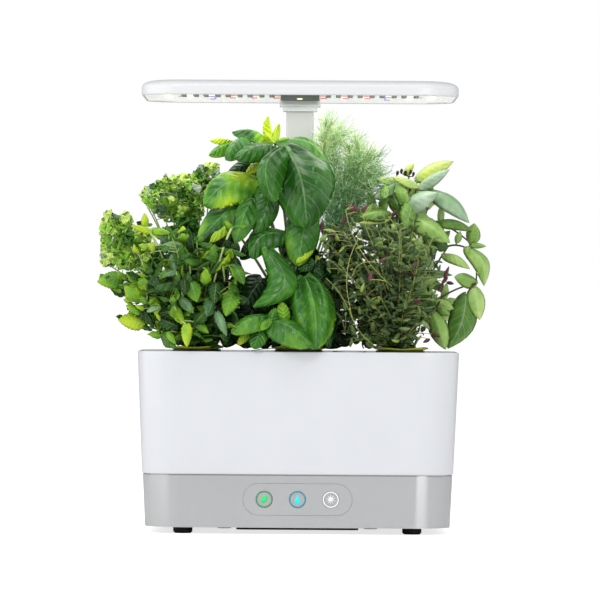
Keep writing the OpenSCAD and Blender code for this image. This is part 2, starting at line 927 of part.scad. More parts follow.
// A large leaf along +X: two sections between a pointed base and a pointed tip
module large_leaf(l, w, droop, t) {
    points = concat([[0, 0, 0]],
                    leaf_section(l, w, droop, t, 0.35),
                    leaf_section(l, w * 0.75, droop, t, 0.72),
                    [[l, 0, arch(l, droop, 1)]]);
    base_faces = [for (i = [0 : 3]) [0, 1 + i, 1 + (i + 1) % 4]];
    tip_faces = [for (i = [0 : 3]) [9, 5 + (i + 1) % 4, 5 + i]];
    side_faces = [for (i = [0 : 3], half = [0, 1]) half == 0
        ? [5 + (i + 1) % 4, 1 + (i + 1) % 4, 1 + i]
        : [5 + i, 5 + (i + 1) % 4, 1 + i]];
    polyhedron(points, concat(base_faces, tip_faces, side_faces));
}

// A twig between two points
module twig(a, b, r) {
    hull()
        for (p = [a, b])
            translate(p) cylinder(r1 = r, r2 = 0, h = 1.5 * r, $fn = 3);
}

// A point on a stem that leaves its pod steeply and then leans out to its tip
function on_stem(pod, tip, t) = [
    pod[0] + (tip[0] - pod[0]) * pow(t, 1.5),
    pod[1] + (tip[1] - pod[1]) * pow(t, 1.5),
    stem_z + (tip[2] - stem_z) * t
];
stem_z = deck_top + flange_t - 0.4;
golden = 137.5;
leaf_t = 1.6;
large_leaf_l = 40;

// A stem with leaves turned round it, hanging outwards, smaller towards the
// tip. A size is [leaf length, leaf width, droop], and bare is the share of
// the stem without leaves.
module sprig(pod, tip, size, count, bare, stem_r) {
    steps = 3;
    for (i = [0 : steps - 1])
        twig(on_stem(pod, tip, i / steps), on_stem(pod, tip, (i + 1) / steps), stem_r);
    for (i = [1 : count]) {
        t = bare + (1 - bare) * i / count;
        shrink = 1 - 0.35 * pow(t, 3);
        hang = 50 - 35 * t;
        roll = 30 * sin(i * 97 + tip[0] * 5);
        translate(on_stem(pod, tip, t) - [0, 0, 0.4 * stem_r])
            rotate([0, 0, i * golden + tip[0] * 3])
                rotate([0, hang, 0])
                    rotate([roll, 0, 0])
                        if (size[0] < large_leaf_l)
                            small_leaf(size[0] * shrink, size[1] * shrink, size[2], leaf_t);
                        else
                            large_leaf(size[0] * shrink, size[1] * shrink, size[2], leaf_t);
    }
}

// Tips are measured from the middle of the deck's top edge, so that the herbs
// keep their shapes when the bowl or the base changes size
function above_deck(p) = [p[0], p[1], p[2] + deck_top];

module herb(pod, tips, size, count, bare, stem_r) {
    for (tip = tips)
        sprig(pod, above_deck(tip), size, count, bare, stem_r);
}

mint_tips = [
    [-162, -56, 70], [-158, -36, 50], [-128, -76, 32], [-108, -84, 48], [-84, -78, 30],
    [-58, -76, 42], [-126, -34, 86], [-96, -56, 78]
];
basil_tips = [
    [-20, -36, 186], [4, -46, 152], [-54, -44, 150], [-50, -58, 112], [18, -56, 126],
    [-28, -64, 86], [12, -66, 60], [-16, -70, 36]
];
thyme_tips = [
    [40, -66, 88], [56, -50, 106], [84, -56, 96], [108, -66, 72], [124, -60, 50],
    [50, -80, 46], [74, -84, 28], [100, -82, 44]
];
parsley_tips = [
    [-104, 24, 128], [-70, 34, 132], [-122, 34, 112], [-140, 16, 92], [-88, 50, 106],
    [-62, 56, 104]
];
dill_tips = [
    [32, 22, 184], [50, 14, 172], [66, 28, 150], [24, 34, 164], [58, 6, 128], [12, 20, 176]
];
thai_tips = [
    [118, 10, 152], [94, 24, 136], [142, 28, 124], [164, 4, 78], [156, -20, 52],
    [120, -26, 34], [80, 6, 120], [138, 40, 96]
];

// Length, width and droop of each herb's leaves
mint_leaf = [30, 24, 6];
basil_leaf = [54, 38, 14];
thyme_leaf = [18, 12, 2];
parsley_leaf = [32, 30, 6];
thai_leaf = [36, 20, 8];

module mint_plant() {
    herb(pods[0], mint_tips, mint_leaf, 6, 0.25, 1.2);
}

module basil_plant() {
    herb(pods[1], basil_tips, basil_leaf, 5, 0.3, 1.8);
}

module thyme_plant() {
    herb(pods[2], thyme_tips, thyme_leaf, 7, 0.25, 1);
}

module parsley_plant() {
    herb(pods[3], parsley_tips, parsley_leaf, 6, 0.4, 1.2);
}

// Dill carries threads in place of leaves
module dill_plant() {
    steps = 3;
    threads = 8;
    for (tip = dill_tips) {
        high = above_deck(tip);
        for (i = [0 : steps - 1])
            twig(on_stem(pods[4], high, i / steps), on_stem(pods[4], high, (i + 1) / steps), 1);
        for (i = [1 : threads]) {
            t = 0.4 + 0.6 * i / threads;
            a = on_stem(pods[4], high, t);
            reach = 24 * (1.2 - t);
            twig(a, a + [reach * cos(i * golden), reach * sin(i * golden), 9], 0.8);
        }
    }
}

module thai_basil_plant() {
    herb(pods[5], thai_tips, thai_leaf, 6, 0.35, 1.2);
}

// Where a pod's herb may not grow: into the deck and its labels, apart from
// the hole over the pod, round the arm, and up to the lamp
module no_herb(pod) {
    reach = 2 * hood_w;
    head_room = 12;
    label_top = label_z + 3.5 + fit;
    difference() {
        translate([-reach / 2, -reach / 2, 0]) cube([reach, reach, label_top]);
        translate([pod[0], pod[1], deck_top])
            cylinder(r = label_hole_r - 1, h = label_top, $fn = 12);
    }
    translate([-column_out[0] / 2 - 2, arm_y - column_out[1] / 2 - 2, 0])
        cube([column_out[0] + 4, hood_d, hood_top]);
    translate([-reach / 2, -reach / 2, hood_z - head_room]) cube([reach, reach, reach]);
}

// Each herb gives way to those named before it
module basil() {
    color("limegreen")
    difference() {
        basil_plant();
        no_herb(pods[1]);
    }
}

module mint() {
    color("forestgreen")
    difference() {
        mint_plant();
        no_herb(pods[0]);
        basil_plant();
    }
}

module thyme() {
    color("darkolivegreen")
    difference() {
        thyme_plant();
        no_herb(pods[2]);
        basil_plant();
    }
}

module thai_basil() {
    color("seagreen")
    difference() {
        thai_basil_plant();
        no_herb(pods[5]);
        basil_plant();
        thyme_plant();
    }
}

module dill() {
    color("yellowgreen")
    difference() {
        dill_plant();
        no_herb(pods[4]);
        basil_plant();
        thyme_plant();
        thai_basil_plant();
    }
}

module parsley() {
    color("olivedrab")
    difference() {
        parsley_plant();
        no_herb(pods[3]);
        basil_plant();
        mint_plant();
        dill_plant();
    }
}

// ---------------------------------------------------------------- nodes

base_shell();
bottom_cover();
front_feet();
rear_feet();
base_screws();
power_inlet();
control_board();
tact_switches();
indicator_lights();
panel_bezel();
feed_button();
water_button();
light_button();
pump_motor();
arm_tower();
column();
column_bush();
bowl();
pump_shaft();
pump_rotor();
pump_cover();
pump_filter();
riser_tube();
float_rod();
level_float();
grow_deck();
for (i = [1 : 6])
    basket(i);
for (i = [1 : 6])
    label(i);
grow_sponges();
mast();
mast_glide();
neck_ring();
hood_socket();
hood_cover();
hood_reflector();
lamp_board();
board_screws();
hood_spine();
white_emitters();
red_emitters();
blue_emitters();
clear_posts();
mint();
basil();
thyme();
parsley();
dill();
thai_basil();
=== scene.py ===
"""A countertop hydroponic garden: its looks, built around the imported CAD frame."""
import math
from collections import namedtuple

import bpy
import numpy as np
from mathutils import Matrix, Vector


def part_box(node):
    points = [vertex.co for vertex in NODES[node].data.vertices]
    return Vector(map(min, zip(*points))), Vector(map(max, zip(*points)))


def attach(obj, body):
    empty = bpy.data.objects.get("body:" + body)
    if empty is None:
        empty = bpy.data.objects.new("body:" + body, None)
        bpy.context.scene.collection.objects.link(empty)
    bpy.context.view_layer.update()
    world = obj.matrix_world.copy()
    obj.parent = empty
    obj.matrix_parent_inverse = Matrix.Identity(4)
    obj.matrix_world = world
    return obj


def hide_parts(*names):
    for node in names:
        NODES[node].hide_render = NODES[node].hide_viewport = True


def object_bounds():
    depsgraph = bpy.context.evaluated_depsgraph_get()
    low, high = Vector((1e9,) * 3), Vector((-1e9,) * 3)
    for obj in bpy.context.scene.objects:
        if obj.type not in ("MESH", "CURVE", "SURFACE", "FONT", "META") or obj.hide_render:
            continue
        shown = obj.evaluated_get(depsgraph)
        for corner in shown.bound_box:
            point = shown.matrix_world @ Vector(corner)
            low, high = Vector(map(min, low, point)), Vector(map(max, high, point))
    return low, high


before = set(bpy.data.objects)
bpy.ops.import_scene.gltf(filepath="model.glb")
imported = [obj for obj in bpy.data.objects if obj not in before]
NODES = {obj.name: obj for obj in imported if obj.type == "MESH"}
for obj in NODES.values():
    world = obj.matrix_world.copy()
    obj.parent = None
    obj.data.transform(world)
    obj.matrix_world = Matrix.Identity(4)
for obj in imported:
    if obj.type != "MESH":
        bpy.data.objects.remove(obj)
cad_low, cad_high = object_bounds()
MM = 0.001


def box_mm(name):
    """A CAD node's lowest and highest corner in millimetres, to a hundredth."""
    return np.round(np.array(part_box(name)) / MM, 2)


# ------------------------------------------------------------------ the camera
# The photograph was taken level with the middle of the herbs, from far off.
CAMERA_MM = (1.0, -4782.5, 193.8)
FOCAL_PX = 5697.0
PHOTO_PX = 600
SENSOR_MM = 36.0
ROLL_DEG = -0.38
FAR_M = 400


def seen(px, py, depth):
    """The points in millimetres that the photograph shows at pixels, at depths along Y."""
    scale = (depth - CAMERA_MM[1]) / FOCAL_PX
    return np.stack(np.broadcast_arrays(CAMERA_MM[0] + (px - PHOTO_PX / 2) * scale, depth,
                                        CAMERA_MM[2] + (PHOTO_PX / 2 - py) * scale), -1)


def seen_rows(rows):
    """The points that the photograph shows, from rows of pixel x, pixel y and depth."""
    return seen(*np.array(rows).T)


camera = bpy.data.objects.new("camera", bpy.data.cameras.new("camera"))
bpy.context.scene.collection.objects.link(camera)
camera.location = [c * MM for c in CAMERA_MM]
camera.rotation_euler = (math.radians(90), math.radians(ROLL_DEG), 0)
camera.data.sensor_width = SENSOR_MM
camera.data.lens = FOCAL_PX * SENSOR_MM / PHOTO_PX
camera.data.clip_end = FAR_M
bpy.context.scene.camera = camera
bpy.context.scene.view_settings.view_transform = "Standard"


# ------------------------------------------------------------------ materials
def linear(code):
    """An sRGB hex colour as linear red, green, blue and alpha."""
    parts = [int(code[i:i + 2], 16) / 255 for i in (0, 2, 4)]
    return tuple(p / 12.92 if p <= 0.04045 else ((p + 0.055) / 1.055) ** 2.4
                 for p in parts) + (1.0,)


def node(tree, kind, settings=None, **inputs):
    """Adds a shader node, with its settings, and its inputs set to values or linked."""
    made = tree.nodes.new("ShaderNode" + kind)
    for key, value in (settings or {}).items():
        setattr(made, key, value)
    for key, value in inputs.items():
        where = made.inputs[int(key[1:])] if key[0] == "n" and key[1:].isdigit() \
            else made.inputs[key.replace("_", " ")]
        if isinstance(value, bpy.types.NodeSocket):
            tree.links.new(value, where)
        else:
            where.default_value = value
    return made


def new_material(name):
    """An empty node material, its tree and its output."""
    made = bpy.data.materials.new(name)
    made.use_nodes = True
    tree = made.node_tree
    tree.nodes.clear()
    return made, tree, node(tree, "OutputMaterial")


# A real mould's grain is about 0.1 mm wide. It is drawn wider, so that it shows.
GRAIN_DEPTH = 0.2 * MM
ROUGH_SWING = 0.05


def moulded(name, colour, shade, rough, grain_mm=0.6, grain=0.05, drift_mm=40, **more):
    """Moulded plastic: the colour drifts a little over centimetres, the gloss with it,
    and a fine grain from the mould's wall shows in the bump."""
    made, tree, out = new_material(name)
    place = node(tree, "TexCoord").outputs["Object"]
    drift = node(tree, "TexNoise", Vector=place, Scale=1000 / drift_mm, Detail=3.0)
    fine = node(tree, "TexNoise", Vector=place, Scale=1000 / grain_mm, Detail=2.0)
    tint = node(tree, "MixRGB", Fac=drift.outputs["Fac"], Color1=linear(colour),
                Color2=linear(shade))
    sheen = node(tree, "MapRange", Value=drift.outputs["Fac"], To_Min=rough - ROUGH_SWING,
                 To_Max=rough + ROUGH_SWING)
    bump = node(tree, "Bump", Height=fine.outputs["Fac"], Strength=grain, Distance=GRAIN_DEPTH)
    body = node(tree, "BsdfPrincipled", Base_Color=tint.outputs[0], Roughness=sheen.outputs[0],
                Normal=bump.outputs[0], **more)
    tree.links.new(body.outputs[0], out.inputs[0])
    return made


def lit(name, colour, shade, glow, strength):
    """Clear resin or a printed mark with a light behind it, or a white surface with the light that
    falls on it painted on as a glow.
    """
    return moulded(name, colour, shade, 0.35, Emission_Color=linear(glow),
                   Emission_Strength=strength)


def steel(name, colour, shade, rough):
    """Zinc-plated steel: metallic, with fine scratches left by the rolling."""
    return moulded(name, colour, shade, rough, grain_mm=0.3, grain=0.15, Metallic=1.0)


CELL_DEPTH = 0.8 * MM


def foam(name, colour, shade, cell_mm):
    """Open foam or peat: matt, with cells as deep as they are wide."""
    made, tree, out = new_material(name)
    place = node(tree, "TexCoord").outputs["Object"]
    cells = node(tree, "TexVoronoi", Vector=place, Scale=1000 / cell_mm)
    tint = node(tree, "MixRGB", Fac=cells.outputs["Distance"], Color1=linear(shade),
                Color2=linear(colour))
    bump = node(tree, "Bump", Height=cells.outputs["Distance"], Strength=0.8, Distance=CELL_DEPTH)
    body = node(tree, "BsdfPrincipled", Base_Color=tint.outputs[0], Roughness=0.95,
                Normal=bump.outputs[0])
    tree.links.new(body.outputs[0], out.inputs[0])
    return made


def ramp(tree, share, stops):
    """A colour read from a list of (place, hex colour) stops."""
    made = node(tree, "ValToRGB", Fac=share)
    band = made.color_ramp
    while len(band.elements) < len(stops):
        band.elements.new(0.5)
    for element, (at, code) in zip(band.elements, stops):
        element.position = at
        element.color = linear(code)
    return made.outputs[0]


VEIN_SLOPE = 1.5  # how far side veins lean towards the tip, in vein spacings at the rim
PATCHES_PER_M = 110.0  # a leaf is patchy over about 9 mm
PATCH_TONE = 0.16
BUMP = 0.6


def leafy(name, stops, vein, rough, veins, line=0.05, relief_mm=0.8, vein_show=0.35):
    """A living leaf: the colour runs with its age and light (the tone attribute), patchy over
    millimetres; a paler midrib and side veins follow the leaf's own UV map, and the tissue
    between the veins swells in the bump."""
    made, tree, out = new_material(name)
    place = node(tree, "TexCoord")
    tone = node(tree, "Attribute", {"attribute_name": "tone"}).outputs["Fac"]
    patch = node(tree, "TexNoise", Vector=place.outputs["Object"], Scale=PATCHES_PER_M,
                 Detail=4.0)
    stir = node(tree, "MapRange", Value=patch.outputs["Fac"], To_Min=-PATCH_TONE,
                To_Max=PATCH_TONE)
    share = node(tree, "Math", {"operation": "ADD", "use_clamp": True}, n0=tone,
                 n1=stir.outputs[0])
    flesh = ramp(tree, share.outputs[0], stops)
    parts = node(tree, "SeparateXYZ", Vector=place.outputs["UV"])
    side = node(tree, "Math", {"operation": "MULTIPLY_ADD"}, n0=parts.outputs[1], n1=2.0, n2=-1.0)
    out_from_rib = node(tree, "Math", {"operation": "ABSOLUTE"}, n0=side.outputs[0])
    along = node(tree, "Math", {"operation": "MULTIPLY"}, n0=parts.outputs[0], n1=float(veins))
    phase = node(tree, "Math", {"operation": "MULTIPLY_ADD"}, n0=out_from_rib.outputs[0],
                 n1=-VEIN_SLOPE, n2=along.outputs[0])
    wave = node(tree, "Math", {"operation": "PINGPONG"}, n0=phase.outputs[0], n1=0.5)
    side_line = node(tree, "MapRange", Value=wave.outputs[0], From_Min=0.0, From_Max=line * 2.2,
                     To_Min=0.75, To_Max=0.0)
    rib_line = node(tree, "MapRange", Value=out_from_rib.outputs[0], From_Min=line * 0.5,
                    From_Max=line * 1.6, To_Min=1.0, To_Max=0.0)
    lines = node(tree, "Math", {"operation": "MAXIMUM"}, n0=side_line.outputs[0],
                 n1=rib_line.outputs[0])
    faint = node(tree, "Math", {"operation": "MULTIPLY"}, n0=lines.outputs[0], n1=vein_show)
    colour = node(tree, "MixRGB", Fac=faint.outputs[0], Color1=flesh, Color2=linear(vein))
    swell = node(tree, "Math", {"operation": "MULTIPLY_ADD"}, n0=patch.outputs["Fac"], n1=0.5,
                 n2=wave.outputs[0])
    bump = node(tree, "Bump", Height=swell.outputs[0], Strength=BUMP, Distance=relief_mm * MM)
    body = node(tree, "BsdfPrincipled", Base_Color=colour.outputs[0], Roughness=rough,
                Normal=bump.outputs[0], Specular_IOR_Level=0.4)
    tree.links.new(body.outputs[0], out.inputs[0])
    return made


STREAKS_PER_M = 260.0  # a stem is streaked every 4 mm or so
STREAK_TONE = 0.2


def stalk(name, stops, rough=0.45):
    """A herb's stem: smooth skin, paler or darker with the tone attribute, in long streaks."""
    made, tree, out = new_material(name)
    place = node(tree, "TexCoord").outputs["Object"]
    tone = node(tree, "Attribute", {"attribute_name": "tone"}).outputs["Fac"]
    streak = node(tree, "TexNoise", Vector=place, Scale=STREAKS_PER_M, Detail=2.0)
    stir = node(tree, "MapRange", Value=streak.outputs["Fac"], To_Min=-STREAK_TONE,
                To_Max=STREAK_TONE)
    share = node(tree, "Math", {"operation": "ADD", "use_clamp": True}, n0=tone,
                 n1=stir.outputs[0])
    body = node(tree, "BsdfPrincipled", Base_Color=ramp(tree, share.outputs[0], stops),
                Roughness=rough)
    tree.links.new(body.outputs[0], out.inputs[0])
    return made


PLASTIC_IOR = 1.5
ACRYLIC_IOR = 1.49

# Metallic paint on the base: a grey that brightens where it turns to a light
silver_abs = moulded("silver_painted_abs", "C9CACB", "C1C2C3", 0.2, Metallic=0.45)
# The arm: satin, with wide even highlights
grey_abs = moulded("satin_grey_abs", "CBCBCC", "C5C5C6", 0.38, IOR=PLASTIC_IOR)
# Bowl and deck: polished, with clear highlights along the rims
white_abs = moulded("polished_white_abs", "E3E5E9", "DEE0E5", 0.12, IOR=PLASTIC_IOR)
# The hood: smooth, and softer than the bowl
milky_acrylic = moulded("milky_acrylic", "E8E9EB", "E3E4E6", 0.25, IOR=ACRYLIC_IOR)
# Tube and light guides: waxy
milky_pp = moulded("milky_polypropylene", "E3E4E2", "DADBD8", 0.4)
# Under the base, in the pods and round the pump: dull black, from an eroded mould
black_abs = moulded("black_abs", "171717", "101010", 0.5, grain=0.2)
# The hood's spine: the same mould finish in dark grey
dark_abs = moulded("dark_grey_abs", "3A3B3B", "2E2F2F", 0.5, grain=0.2)
# Feet: matt, without a highlight
rubber = moulded("black_rubber", "0A0A0A", "0C0C0C", 0.7, grain=0.3)
# Screws and the pump's shaft: bluish metal
zinc = steel("zinc_plated_steel", "C4C4C6", "B2B2B5", 0.3)
# The control board: smooth lacquer
solder_mask = moulded("green_solder_mask", "1B5B34", "17502D", 0.35)
# Rotor and float: plainly coloured mouldings
blue_abs = moulded("blue_abs", "1E2F7A", "18286A", 0.45)
orange_abs = moulded("orange_abs", "E0662A", "D35B22", 0.45)
# The pump's filter and the pods' plugs: open cells, no gloss
filter_foam = foam("black_filter_foam", "1A1A1A", "050505", 1.6)
peat = foam("peat_plug", "4A3524", "1C120A", 1.4)
# Under the hood: white surfaces, with the emitters' light on them painted on as a faint white glow
glow_painted_reflector = lit("lit_reflector_white", "F1F1F0", "ECECEB", "FFFFFF", 0.4)
glow_painted_board = lit("lit_white_solder_mask", "EFEFEE", "E9E9E8", "FFFFFF", 0.4)
# The posts: nearly clear, with sharp edges of light
clear_acrylic = moulded("clear_acrylic", "DDE3E6", "D3DADF", 0.08, Transmission_Weight=0.55,
                        IOR=ACRYLIC_IOR)
# Small parts on the lamp's board: dull grey
chip_grey = moulded("grey_chip_resin", "A9ACA6", "9A9E97", 0.5)
# The lit dot on the spine, and the emitters: pale resin over a light
warm_glow = lit("warm_indicator", "FFF4C8", "FFF0B8", "FFF3C0", 1.0)
white_led = lit("warm_white_emitter", "F8F6EE", "F4F1E4", "FFFBEE", 0.4)
red_led = lit("red_emitter", "F3A0AE", "EE8C9E", "FF7F95", 0.2)
blue_led = lit("blue_emitter", "C3BDF0", "B5AEEB", "9F94FF", 0.2)
# Buttons: silver-grey caps with printed marks that are lit from behind
silver_cap = moulded("silver_button_cap", "B3B4B5", "ACADAE", 0.34)
green_mark = lit("lit_green_mark", "2FBE6A", "27B060", "26D070", 0.55)
green_ring = lit("lit_green_ring", "3E9A68", "378F60", "2FA868", 0.15)
cyan_mark = lit("lit_cyan_mark", "22CFDD", "1AC0D0", "16D8EA", 0.55)
cyan_ring = lit("lit_cyan_ring", "2F93A6", "2A899C", "2AA5BC", 0.2)
white_mark = lit("lit_white_mark", "F4F5F6", "EFF0F1", "FFFFFF", 0.25)
# Pod labels: lime card with a thin coating
label_card = moulded("coated_label_card", "C3CE4A", "AEBB3A", 0.35, drift_mm=9)

# Basil: glossy, blistered, from near black in the shade to lime where light comes through
basil_leaf = leafy("basil_leaf", [(0.0, "08300A"), (0.3, "14480A"), (0.55, "3B7A22"),
                                  (0.78, "84BC28"), (1.0, "CFE52A")],
                   "A4CC88", 0.27, 6, line=0.03, relief_mm=1.6, vein_show=0.25)
# Mint: duller, with plain pale veins
mint_leaf = leafy("mint_leaf", [(0.0, "082403"), (0.3, "1C4A0A"), (0.55, "417A18"),
                                (0.78, "7DB41E"), (1.0, "C0DC28")],
                  "9CC46C", 0.45, 6, line=0.05)
# Parsley: fresh green, with hardly a vein
parsley_leaf = leafy("parsley_leaf", [(0.0, "1A4E0E"), (0.3, "3E8020"), (0.55, "7AB634"),
                                      (0.78, "AADC50"), (1.0, "D6F080")],
                     "B4D470", 0.38, 4, vein_show=0.15)
# Thai basil: smooth and pale, with fine veins
thai_leaf = leafy("thai_basil_leaf", [(0.0, "22460F"), (0.3, "507E2B"), (0.55, "8CB656"),
                                      (0.78, "BEDC84"), (1.0, "E0EA6C")],
                  "C9E0B0", 0.35, 6, line=0.04, vein_show=0.3)
# Thyme: small, grey-green and dull
thyme_leaf = leafy("thyme_leaf", [(0.0, "101F06"), (0.3, "2A441C"), (0.55, "4E6C34"),
                                  (0.78, "7F9A56"), (1.0, "ABC24C")],
                   "8FA873", 0.55, 3, line=0.08, vein_show=0.25)
# Leaves with a painted bluish sheen: the reflection of the light on their tops painted into a pale
# blue-green
painted_sheen_leaf = leafy("painted_sheen_green_leaf", [(0.0, "0E2B12"), (0.35, "33602F"), (0.6, "75A06C"),
                                            (1.0, "D0E2CC")],
                     "B4D0B0", 0.4, 6, line=0.05, vein_show=0.3)
# Young leaves and buds in purple red
maroon_leaf = leafy("maroon_leaf", [(0.0, "240A12"), (0.5, "4E1E2A"), (1.0, "865058")],
                    "7A4450", 0.5, 3, line=0.08)
# Dill's threads: bluish low down, yellow-green at the top
dill_thread = stalk("dill_thread", [(0.0, "3E8A50"), (0.4, "7CB878"), (0.7, "B8DC98"),
                                    (1.0, "E4EEB0")], rough=0.5)
# Stems: fleshy and pale, thin and woody, or dark
pale_stem = stalk("pale_green_stem", [(0.0, "3C6420"), (0.5, "8FB64C"), (1.0, "D5E3A0")])
wiry_stem = stalk("wiry_thyme_stem", [(0.0, "5A5326"), (0.5, "93A14B"), (1.0, "C8CF7C")])
dark_stem = stalk("purple_brown_stem", [(0.0, "35221F"), (0.5, "5B4A35"), (1.0, "8FA35A")])

CAD_FINISH = {
    "base_shell": silver_abs, "panel_bezel": silver_abs, "arm_tower": silver_abs,
    "bottom_cover": black_abs, "front_feet": rubber, "rear_feet": rubber,
    "base_screws": zinc, "board_screws": zinc, "pump_shaft": zinc,
    "power_inlet": black_abs, "control_board": solder_mask, "tact_switches": black_abs,
    "indicator_lights": milky_pp, "feed_button": silver_cap, "water_button": silver_cap,
    "light_button": silver_cap, "pump_motor": black_abs, "column": grey_abs,
    "column_bush": grey_abs, "pump_rotor": blue_abs, "pump_cover": black_abs,
    "pump_filter": filter_foam, "riser_tube": milky_pp, "float_rod": white_abs,
    "level_float": orange_abs, "grow_deck": white_abs, "grow_sponges": peat,
    "mast": grey_abs, "mast_glide": grey_abs, "neck_ring": white_abs,
    "hood_socket": white_abs, "hood_reflector": glow_painted_reflector, "lamp_board": glow_painted_board,
    "hood_spine": dark_abs, "white_emitters": white_led, "red_emitters": red_led,
    "blue_emitters": blue_led, "clear_posts": clear_acrylic,
}
CAD_FINISH.update({"basket_%d" % pod: black_abs for pod in range(1, 7)})
SMOOTH_DEG = 32
WELD_M = 0.01 * MM
for name, finish in CAD_FINISH.items():
    part = NODES[name]
    part.data.materials.clear()
    part.data.materials.append(finish)
    for polygon in part.data.polygons:
        polygon.use_smooth = True
    part.modifiers.new("weld", "WELD").merge_threshold = WELD_M
    split = part.modifiers.new("edges", "EDGE_SPLIT")
    split.split_angle = math.radians(SMOOTH_DEG)
    split.use_edge_sharp = False
    part.modifiers.new("faces", "WEIGHTED_NORMAL").weight = 100


# ------------------------------------------------------------------ surfaces
def weave(points, ends=None, around=True, along=False):
    """Faces over a grid of points (rows, columns, 3), rows joined to the next row and columns
    to the next column. Around joins the last column to the first, and along the last row to
    the first. Ends are the two closing points before the first row and after the last, or
    "caps" for a many-sided face on each. A face points to row direction x column direction."""
    rows, cols = points.shape[:2]
    index = np.arange(rows * cols).reshape(rows, cols)
    if along:
        index = np.vstack([index, index[:1]])
    if around:
        index = np.hstack([index, index[:, :1]])
    quads = np.stack([index[:-1, :-1], index[1:, :-1], index[1:, 1:], index[:-1, 1:]], -1)
    flat = points.reshape(-1, 3)
    faces = [quads.reshape(-1, 4)]
    if isinstance(ends, str):
        faces += [index[0, :cols][None, :], index[-1, :cols][::-1][None, :]]
    elif ends is not None:
        first, last = rows * cols, rows * cols + 1
        flat = np.vstack([flat, ends])
        faces.append(np.stack([np.full(len(index[0]) - 1, first), index[0, :-1],
                               index[0, 1:]], -1))
        faces.append(np.stack([np.full(len(index[0]) - 1, last), index[-1, 1:],
                               index[-1, :-1]], -1))
    return flat, faces


def turned(faces):
    """The same faces, pointing to their other side."""
    return [face[:, ::-1] for face in faces]


def piece(name, shells, materials, body, replaces=()):
    """One object from closed shells. A shell is (points in mm, faces, UV, tone, material)."""
    points, loops, starts, tints, uvs, tones = [], [], [], [], [], []
    base = length = 0
    for flat, faces, uv, tone, material in shells:
        points.append(flat)
        uvs.append(np.broadcast_to(uv, (len(flat), 2)))
        tones.append(np.broadcast_to(tone, (len(flat),)))
        for face in faces:
            count, sides = face.shape
            loops.append((face + base).ravel())
            starts.append(length + np.arange(count) * sides)
            tints.append(np.full(count, material))
            length += count * sides
        base += len(flat)
    points, loops, starts = map(np.concatenate, (points, loops, starts))
    mesh = bpy.data.meshes.new(name)
    mesh.vertices.add(len(points))
    mesh.vertices.foreach_set("co", (points * MM).astype(np.float32).ravel())
    mesh.loops.add(len(loops))
    mesh.loops.foreach_set("vertex_index", loops.astype(np.int32))
    mesh.polygons.add(len(starts))
    mesh.polygons.foreach_set("loop_start", starts.astype(np.int32))
    mesh.polygons.foreach_set("material_index", np.concatenate(tints).astype(np.int32))
    mesh.update(calc_edges=True)
    mesh.polygons.foreach_set("use_smooth", np.ones(len(starts), bool))
    layer = mesh.uv_layers.new(name="UVMap")
    layer.data.foreach_set("uv", np.concatenate(uvs)[loops].astype(np.float32).ravel())
    shade = mesh.attributes.new("tone", "FLOAT", "POINT")
    shade.data.foreach_set("value", np.concatenate(tones).astype(np.float32))
    mesh.validate()
    for material in materials:
        mesh.materials.append(material)
    made = bpy.data.objects.new(name, mesh)
    bpy.context.scene.collection.objects.link(made)
    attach(made, body)
    if replaces:
        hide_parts(*replaces)
    return made


# How far a straight side goes on past a corner's arc before its long face, so that the
# corner's shading ends there
CORNER_RUN = 0.8


def outline(half_w, half_d, radius, notch=None, steps=14):
    """The plan of a rounded box, anticlockwise from above, with its outward normals and the
    share by which each point follows the box's lean. Each corner is an arc given by its
    middle, radius, first and last angle, and the side of it that the body is on. A notch is
    (half width, front edge, own corner radius), cut into the rear side; its points don't
    lean."""
    arcs = [(half_w - radius, radius - half_d, radius, -90, 0, 1, 1),
            (half_w - radius, half_d - radius, radius, 0, 90, 1, 1)]
    if notch:
        side, front, turn = notch
        arcs += [(side + turn, half_d - turn, turn, 90, 180, 1, 0),
                 (side - turn, front + turn, turn, 0, -90, -1, 0),
                 (turn - side, front + turn, turn, -90, -180, -1, 0),
                 (-side - turn, half_d - turn, turn, 0, 90, 1, 0)]
    arcs += [(radius - half_w, half_d - radius, radius, 90, 180, 1, 1),
             (radius - half_w, radius - half_d, radius, 180, 270, 1, 1)]
    points, normals, follow = [], [], []
    for cx, cy, r, start, stop, sign, share in arcs:
        angle = np.radians(np.linspace(start, stop, steps))
        ray = np.stack([np.cos(angle), np.sin(angle)], -1)
        arc = np.array([cx, cy]) + r * ray
        way = sign * np.stack([-ray[:, 1], ray[:, 0]], -1)
        if start > stop:
            way = np.stack([ray[:, 1], -ray[:, 0]], -1)
        arc = np.vstack([arc[:1] - CORNER_RUN * way[:1], arc, arc[-1:] + CORNER_RUN * way[-1:]])
        ray = sign * np.vstack([ray[:1], ray, ray[-1:]])
        points.append(arc)
        normals.append(ray)
        follow.append(np.full(len(arc), float(share)))
    return np.vstack(points), np.vstack(normals), np.concatenate(follow)


def walled(plan, profile):
    """A plan carried through a profile of (inset, lean, height) rows: each ring is the plan
    moved in along its normals by the inset, plus the lean where the plan follows it."""
    points, normals, follow = plan
    inset, lean, height = np.array(profile, float).T
    move = inset[:, None] + lean[:, None] * follow[None, :]
    rings = points[None] - normals[None] * move[..., None]
    return np.dstack([rings, np.broadcast_to(height[:, None], move.shape)])


def fillet(a, b, corner, steps=5):
    """Profile rows that round a corner between two profile rows, as a quadratic curve."""
    t = np.linspace(0, 1, steps)[:, None]
    a, b, corner = map(np.array, (a, b, corner))
    return ((1 - t) ** 2 * a + 2 * t * (1 - t) * corner + t ** 2 * b).tolist()


